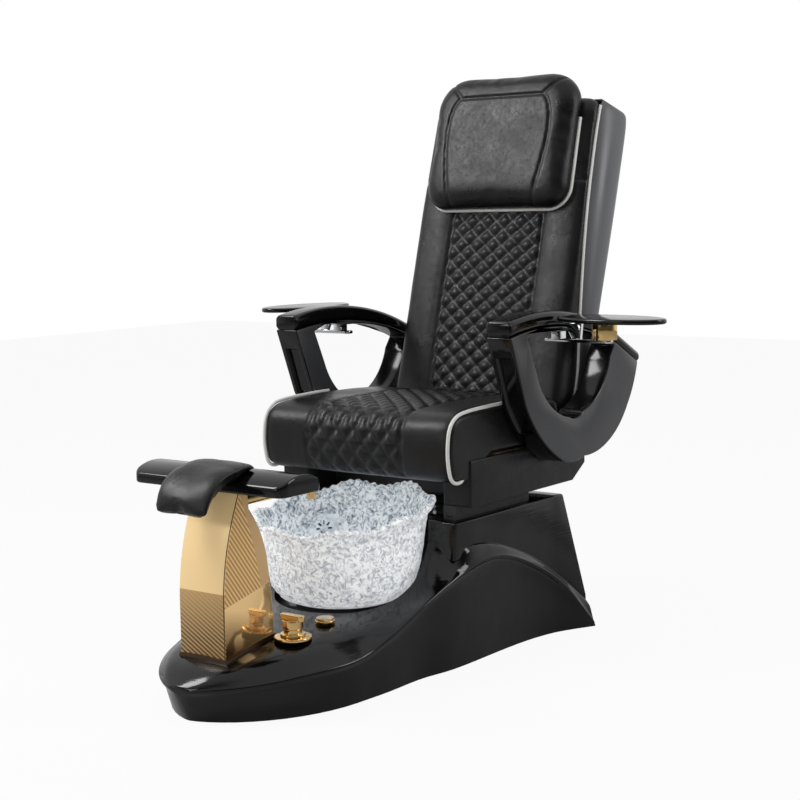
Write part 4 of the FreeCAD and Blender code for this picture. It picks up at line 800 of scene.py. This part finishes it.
# Seat cushion
# Foam under black leatherette: a panel sewn in diamonds runs down the middle and over the front
# roll, between two smooth panels, and white piping edges both ends.
def loop_through(points, spacing):
    """Evenly spaced points on the smooth closed line through a few, in millimetres."""
    count = len(points)
    dense = []
    for i in range(count):
        before, here, there, after = (Vector(points[(i + k) % count]) for k in (-1, 0, 1, 2))
        for s in range(16):
            t = s / 16
            bend = 2 * before - 5 * here + 4 * there - after
            twist = 3 * here - before - 3 * there + after
            dense.append(0.5 * (2 * here + (there - before) * t + bend * t * t + twist * t ** 3))
    lengths = [(b - a).length for a, b in zip(dense, dense[1:] + dense[:1])]
    total = sum(lengths)
    steps = int(total / spacing)
    wanted = [total * k / steps for k in range(steps)]
    result = []
    gone = 0.0
    k = 0
    for i, length in enumerate(lengths):
        while k < steps and wanted[k] < gone + length:
            share = (wanted[k] - gone) / length if length else 0
            result.append(dense[i].lerp(dense[(i + 1) % len(dense)], share))
            k += 1
        gone += length
    return result


def puff(u, v):
    """Height of a sewn diamond at u, v counted in diamonds: 0 on the stitches, 1 at the middle."""
    a = abs(math.sin(math.pi * (u + v)))
    b = abs(math.sin(math.pi * (u - v)))
    return min(a, b) ** 0.6


def tube_along(name, points, radius, body, slot, material, closed=False):
    """Round cord through points given in metres, as a mesh."""
    line = bpy.data.curves.new(name, "CURVE")
    line.dimensions = "3D"
    line.bevel_depth = radius
    line.bevel_resolution = 3
    line.use_fill_caps = True
    run = line.splines.new("POLY")
    run.points.add(len(points) - 1)
    for spot, point in zip(run.points, points):
        spot.co = (*point, 1)
    run.use_cyclic_u = closed
    drawn = bpy.data.objects.new(name, line)
    bpy.context.scene.collection.objects.link(drawn)
    graph = bpy.context.evaluated_depsgraph_get()
    mesh = bpy.data.meshes.new_from_object(drawn.evaluated_get(graph))
    bpy.data.objects.remove(drawn)
    form = bmesh.new()
    form.from_mesh(mesh)
    return as_piece(name, form, body, slot, material, sharp=70)


piping_white = finish("white_piping", (0.93, 0.92, 0.89), (0.35, 0.5), lift=0.05, haze=50)
weave = use_group(piping_white, leather_grain, Scale=900.0)
relief(piping_white, weave.outputs["Height"], 0.3, 0.0003)

quilt_half = 140.0
diamond_width, seat_diamond, back_diamond = 51, 53, 43
diamond_rise, stitch_depth = 10.0, 6.0
seat_line = [(474, 498), (474, 560), (468, 586), (440, 600), (350, 605), (260, 608), (170, 607), (84, 604),
             (36, 596), (8, 572), (-2, 528), (0, 488), (9, 457), (27, 444), (52, 446), (64, 466), (70, 490),
             (140, 491), (300, 491), (440, 491)]
seat_loop = loop_through([Vector((y, z)) for y, z in seat_line], 6.0)
seat_middle = Vector((235, 545))
seat_form = bmesh.new()
seat_rings = []
seat_stations = [i * 6.0 for i in range(-41, 42)]
seat_stations = [-281.5, -280, -276, -270, -262, -254] + seat_stations + [254, 262, 270, 276, 280, 281.5]
for x in seat_stations:
    inside = max(0.0, abs(x) - 248) / 34
    pull = 16 * (1 - math.sqrt(max(0.0, 1 - inside ** 2)))
    points = []
    for i, p in enumerate(seat_loop):
        along = (seat_loop[(i + 1) % len(seat_loop)] - seat_loop[i - 1]).normalized()
        inward = Vector((-along.y, along.x))
        if (seat_middle - p).dot(inward) < 0:
            inward = -inward
        q = p + inward * pull
        points.append((x, q.x, q.y))
    seat_rings.append(ring(seat_form, points))
skinned(seat_form, seat_rings)
seat_form.normal_update()
moves = {}
for vert in seat_form.verts:
    x, y, z = vert.co * 1000
    sewn = vert.normal.z > 0.1 or (vert.normal.y < -0.1 and z > 455)
    if not sewn or y > 440:
        continue
    run = y if z > 575 else 30 - (588 - z) * 0.9
    if abs(x) < quilt_half:
        edge = min(1.0, (quilt_half - abs(x)) / 4)
        moves[vert] = diamond_rise * (puff(x / diamond_width, run / seat_diamond) * edge) - stitch_depth
    else:
        off = abs(x) - quilt_half
        sag = 3.0 * (1 - math.exp(-(off / 40) ** 2)) * noise.noise(vert.co * 9)
        moves[vert] = -5.0 * math.exp(-(off / 5) ** 2) + sag
for vert, move in moves.items():
    vert.co += vert.normal * move / 1000
seat_cover = as_piece("seat_cushion_cover", seat_form, "seat", "leatherette_black", black_leather, sharp=80)
smoothed(seat_cover, 1)
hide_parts("seat_cushion")

piping_radius = 0.0042
for side, label in ((-1, "right"), (1, "left")):
    edge_points = [p for p in seat_loop if p.x < 250 and (p.y > 560 or p.x < 62)]
    start = max(range(len(edge_points)), key=lambda i: edge_points[i].x if edge_points[i].y > 575 else -1e9)
    edge_points = edge_points[start:] + edge_points[:start]
    run = [Vector((side * 276, p.x, p.y)) / 1000 for p in edge_points]
    tube = tube_along("seat_piping_" + label, run, piping_radius, "seat", "leatherette_piping", piping_white)
    if label == "left":
        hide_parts("seat_piping")


# Backrest cushion
# The same leatherette over a tall moulded foam: diamonds in the middle up to the pillow, smooth
# bolsters at the sides, and piping where the front cover meets the side.
lean = Matrix.Translation((0, 0.560, 0.470)) @ Matrix.Rotation(math.radians(-15.7), 4, "X")
back_foot, back_head = 50.0, 885.0
back_edge = [(50, -34), (83, -34), (173, -30), (309, -48), (510, -68), (666, -73), (865, -64), (885, -50)]


def back_half(z):
    """Half width of the backrest at a height up the back."""
    return 269 - 22 * (z - back_foot) / (back_head - back_foot)


def back_outline(z):
    """Closed outline of the backrest pad at a height up the back."""
    rounding = 0.0
    if z < back_foot + 40:
        rounding = 1 - math.sqrt(max(0.0, 1 - ((back_foot + 40 - z) / 40) ** 2))
    if z > back_head - 40:
        rounding = 1 - math.sqrt(max(0.0, 1 - ((z - back_head + 40) / 40) ** 2))
    half = back_half(z) - 18 * rounding
    edge_y = between(back_edge, z) + 14 * rounding
    inner, corner = half - 7, 30.0
    points = [Vector((-inner, -7)), Vector((-inner, edge_y + 15)), Vector((-half + 1, edge_y + 9))]
    steps = 60
    for k in range(steps + 1):
        a = math.pi * k / steps
        x = -half * math.cos(a) / max(abs(math.cos(a)), 1e-6) * abs(math.cos(a)) ** 0.62
        front_y = -90 + 7 * (x / half) ** 2 + 24 * rounding
        past = max(0.0, (abs(x) - half + corner) / corner)
        y = edge_y + (front_y - edge_y) * max(0.0, 1 - past ** 2.3) ** (1 / 2.3)
        points.append(Vector((x, y)))
    points += [Vector((half - 1, edge_y + 9)), Vector((inner, edge_y + 15)), Vector((inner, -7)),
               Vector((half * 0.5, -6)), Vector((0, -6)), Vector((-half * 0.5, -6))]
    return points


def even_open(points, count):
    """The same number of evenly spaced points round a closed outline."""
    lengths = [(b - a).length for a, b in zip(points, points[1:] + points[:1])]
    total = sum(lengths)
    result = []
    gone, i = 0.0, 0
    for k in range(count):
        want = total * k / count
        while gone + lengths[i] < want:
            gone += lengths[i]
            i += 1
        share = (want - gone) / lengths[i] if lengths[i] else 0
        result.append(points[i].lerp(points[(i + 1) % len(points)], share))
    return result


back_form = bmesh.new()
back_rings = []
back_stations = [50.2, 51.5, 55, 61, 69, 78] + [84 + 6.0 * i for i in range(127)]
back_stations += [848, 857, 866, 874, 880, 883.5, 884.8]
for z in back_stations:
    back_rings.append(ring(back_form, [(p.x, p.y, z) for p in even_open(back_outline(z), 190)]))
skinned(back_form, back_rings)
back_form.normal_update()
quilt_foot, quilt_top = 66.0, 655.0
moves = {}
for vert in back_form.verts:
    x, y, z = vert.co * 1000
    if vert.normal.y > -0.25:
        continue
    if abs(x) < quilt_half and quilt_foot < z < quilt_top:
        edge = min(1.0, (quilt_half - abs(x)) / 4, (z - quilt_foot) / 5, (quilt_top - z) / 5)
        moves[vert] = diamond_rise * puff(x / diamond_width, z / back_diamond) * edge - stitch_depth
    elif abs(x) >= quilt_half:
        off = abs(x) - quilt_half
        bolster = 7.0 * (1 - math.exp(-(off / 26) ** 2)) * max(0.0, 1 - (off / 118) ** 4)
        seam = 4.0 * math.exp(-((z - 668) / 4) ** 2)
        moves[vert] = bolster - 5.0 * math.exp(-(off / 5) ** 2) - seam + 1.6 * noise.noise(vert.co * 11)
    else:
        moves[vert] = -4.0 * math.exp(-((z - quilt_top) / 5) ** 2)
for vert, move in moves.items():
    vert.co += vert.normal * move / 1000
bmesh.ops.transform(back_form, matrix=lean, verts=back_form.verts)
back_cover = as_piece("back_cushion_cover", back_form, "backrest", "leatherette_black", black_leather,
                      sharp=80)
smoothed(back_cover, 1)
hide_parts("back_cushion")

for side, label in ((-1, "right"), (1, "left")):
    heights = [70 + 10 * i for i in range(81)]
    run = [lean @ (Vector((side * (back_half(z) + 1), between(back_edge, z) + 6, z)) / 1000) for z in heights]
    tube = tube_along("back_piping_" + label, run, piping_radius, "backrest", "leatherette_piping", piping_white)
    if label == "left":
        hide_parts("back_piping")


# Head pillow
# A thick foam pad, strapped over the top of the back, with a raised middle inside a sewn frame
# and piping round its lower edge.
pillow = stuffed("head_pillow", "pillow_cover", 0.0055, 4.0, 0.006, 0.002, "leatherette_black", black_leather)
calm = pillow.modifiers.new("calm", "SMOOTH")
calm.factor = 0.5
calm.iterations = 10
worked(pillow)
unlean = lean.inverted()
turn = lean.to_3x3()
seam_top, seam_half, seam_bow = 880.0, 122.0, 31.0
seam_depth, seam_width = 0.005, 3.5


def seam_distance(x, z):
    """Millimetres from the sewn frame: a top line, two bowed sides and a mitre at either corner."""
    down = max(0.0, min(1.0, (seam_top - z) / 293))
    past_x = abs(x) - seam_half - seam_bow * math.sin(math.pi * down ** 0.6)
    past_z = z - seam_top
    if past_x > 0 and past_z > 0:
        return abs(past_x - past_z) / math.sqrt(2)
    if past_z > 0 or abs(past_z) < abs(past_x) and past_x < 0:
        return abs(past_z)
    return abs(past_x)


for vert in pillow.data.vertices:
    local = unlean @ vert.co * 1000
    low = max(0.0, min(1.0, (700 - local.z) / 100))
    vert.co += turn @ Vector((local.x * 0.000035, 0, -0.006 * low))
    if local.y < -96:
        away = seam_distance(local.x, local.z)
        vert.co += (turn @ Vector((0, 1, 0))) * (seam_depth * math.exp(-(away / seam_width) ** 2))
smoothed(pillow, 1)

pillow_half, pillow_foot, pillow_head, corner = 217.0, 587.0, 950.0, 58.0
pillow_run = [(-pillow_half, pillow_head - 122), (-pillow_half, 760), (-pillow_half, pillow_foot + corner)]
for k in range(1, 8):
    a = math.pi / 2 * k / 8
    pillow_run.append((-pillow_half + corner * (1 - math.cos(a)), pillow_foot + corner * (1 - math.sin(a))))
pillow_run += [(-pillow_half + corner, pillow_foot), (0, pillow_foot)]
pillow_run += [(-x, z) for x, z in reversed(pillow_run[:-1])]
pillow_path = [lean @ (Vector((x, -92 - 4 * (z - pillow_foot) / 300, z)) / 1000) for x, z in pillow_run]
pillow_tube = tube_along("pillow_piping_cord", pillow_path, 0.0045, "backrest", "leatherette_piping",
                         piping_white)
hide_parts("pillow_piping")


# Back cover and inner steelwork
# A dark grey moulding closes the back. Inside are the welded frame, the massage carriage and
# its rails.
shell_grey = finish("back_shell_grey", (0.13, 0.132, 0.14), (0.28, 0.4), lift=0.02, haze=5.0, specular=0.45)
shell_depth = [(92, 60), (250, 78), (390, 91), (610, 109), (760, 118), (850, 122), (880, 119), (893, 109)]
shell_steps = [(92, 6), (94, 2), (98, 0)] + [(110 + 30 * i, 0) for i in range(26)]
shell_steps += [(880, 0), (887, 0), (891, 2), (893, 6)]
shell_corner = 46.0
shell_form = bmesh.new()
shell_rings = []
for z, inset in shell_steps:
    half = back_half(z) - 1 - inset
    depth = between(shell_depth, z) - inset
    right_side = [(half, between(back_edge, z) + 9)]
    for k in range(9):
        a = math.pi / 2 * k / 8
        right_side.append((half - shell_corner * (1 - math.cos(a)), depth - shell_corner * (1 - math.sin(a))))
    outline = right_side + [(-x, y) for x, y in reversed(right_side)]
    shell_rings.append(ring(shell_form, [(x, y, z) for x, y in outline]))
skinned(shell_form, shell_rings)
shell_form.normal_update()
shell_front = [f for f in shell_form.faces if f.normal.y < -0.5]
bmesh.ops.delete(shell_form, geom=shell_front, context="FACES")
bmesh.ops.transform(shell_form, matrix=lean, verts=shell_form.verts)
shell_cover = as_piece("back_shell_cover", shell_form, "backrest", "back_grey", shell_grey)
shell_wall = shell_cover.modifiers.new("wall", "SOLIDIFY")
shell_wall.thickness = 0.004
shell_wall.offset = -1.0
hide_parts("back_shell")
powder_black = finish("powder_black", (0.02, 0.02, 0.022), (0.5, 0.62), haze=60)
bright_steel = finish("bright_steel", (0.55, 0.55, 0.56), (0.22, 0.35), metallic=1.0, haze=60)
dress(powder_black, "back_frame", "seat_frame", "base_frame", "seat_carriage", "slide_rails", "slide_motor",
      "massage_carriage")
dress(bright_steel, "massage_rails", "recline_pins", "panel_screws", "arm_bolts", "lift_mast", "footrest_post",
      "spout_pipe")


# Seat skirt and board
# Plywood walls under the same leatherette, open at the front for the sitter's heels, with a
# plywood board on top under the cushion.
eased("seat_box", "seat_skirt_cover", 0.004, "leatherette_black", black_leather, segments=3, merged=False)
plywood = finish("plywood", (0.42, 0.28, 0.16), (0.6, 0.75), lift=0.1, haze=30)
dress(plywood, "seat_board")


# Arms
# Each arm is a grey lacquered loop with glossy black inner walls, under a black bar that curves
# down to the rear, and a recessed strip runs down its front.
arm_grey = finish("arm_grey_lacquer", (0.048, 0.049, 0.053), (0.2, 0.3), lift=0.03, haze=4.0, specular=0.5)
for label in ("left", "right"):
    eased("arm_body_" + label, "arm_loop_" + label, 0.004, "arm_grey", bar_black, arm_grey, segments=3,
          sides=True)
    eased("arm_bar_" + label, "arm_bar_cover_" + label, 0.004, "black_gloss", bar_black, segments=3, angle=25)
    dress(bar_black, "arm_insert_" + label)
    eased("tray_bracket_" + label, "tray_bracket_cover_" + label, 0.0015, "chrome_parts", chrome)
    eased("tray_post_" + label, "tray_post_cover_" + label, 0.0015, "mirror_gold", plain_gold)
    eased("tray_" + label, "tray_cover_" + label, 0.002, "black_gloss", bar_black, segments=3)


# Rear panel, floor pan and services
# Behind a vented panel are the control box, pump, valve and pipes. Their stubs and the power
# inlet come out of the rear wall.
dress(bar_black, "rear_access_panel")
matte_black = finish("matte_black_plastic", (0.02, 0.02, 0.021), (0.5, 0.65), haze=40)
grey_pipe = finish("grey_pipe", (0.35, 0.35, 0.35), (0.45, 0.6), haze=40)
cast_brass = finish("cast_brass", (0.5, 0.34, 0.14), (0.3, 0.5), metallic=1.0, haze=50)
dress(matte_black, "floor_pan", "control_box", "power_inlet", "drain_pump", "jet_motor")
dress(grey_pipe, "drain_pipe", "drain_outlet")
dress(cast_brass, "mixer_valve", "supply_pipes")
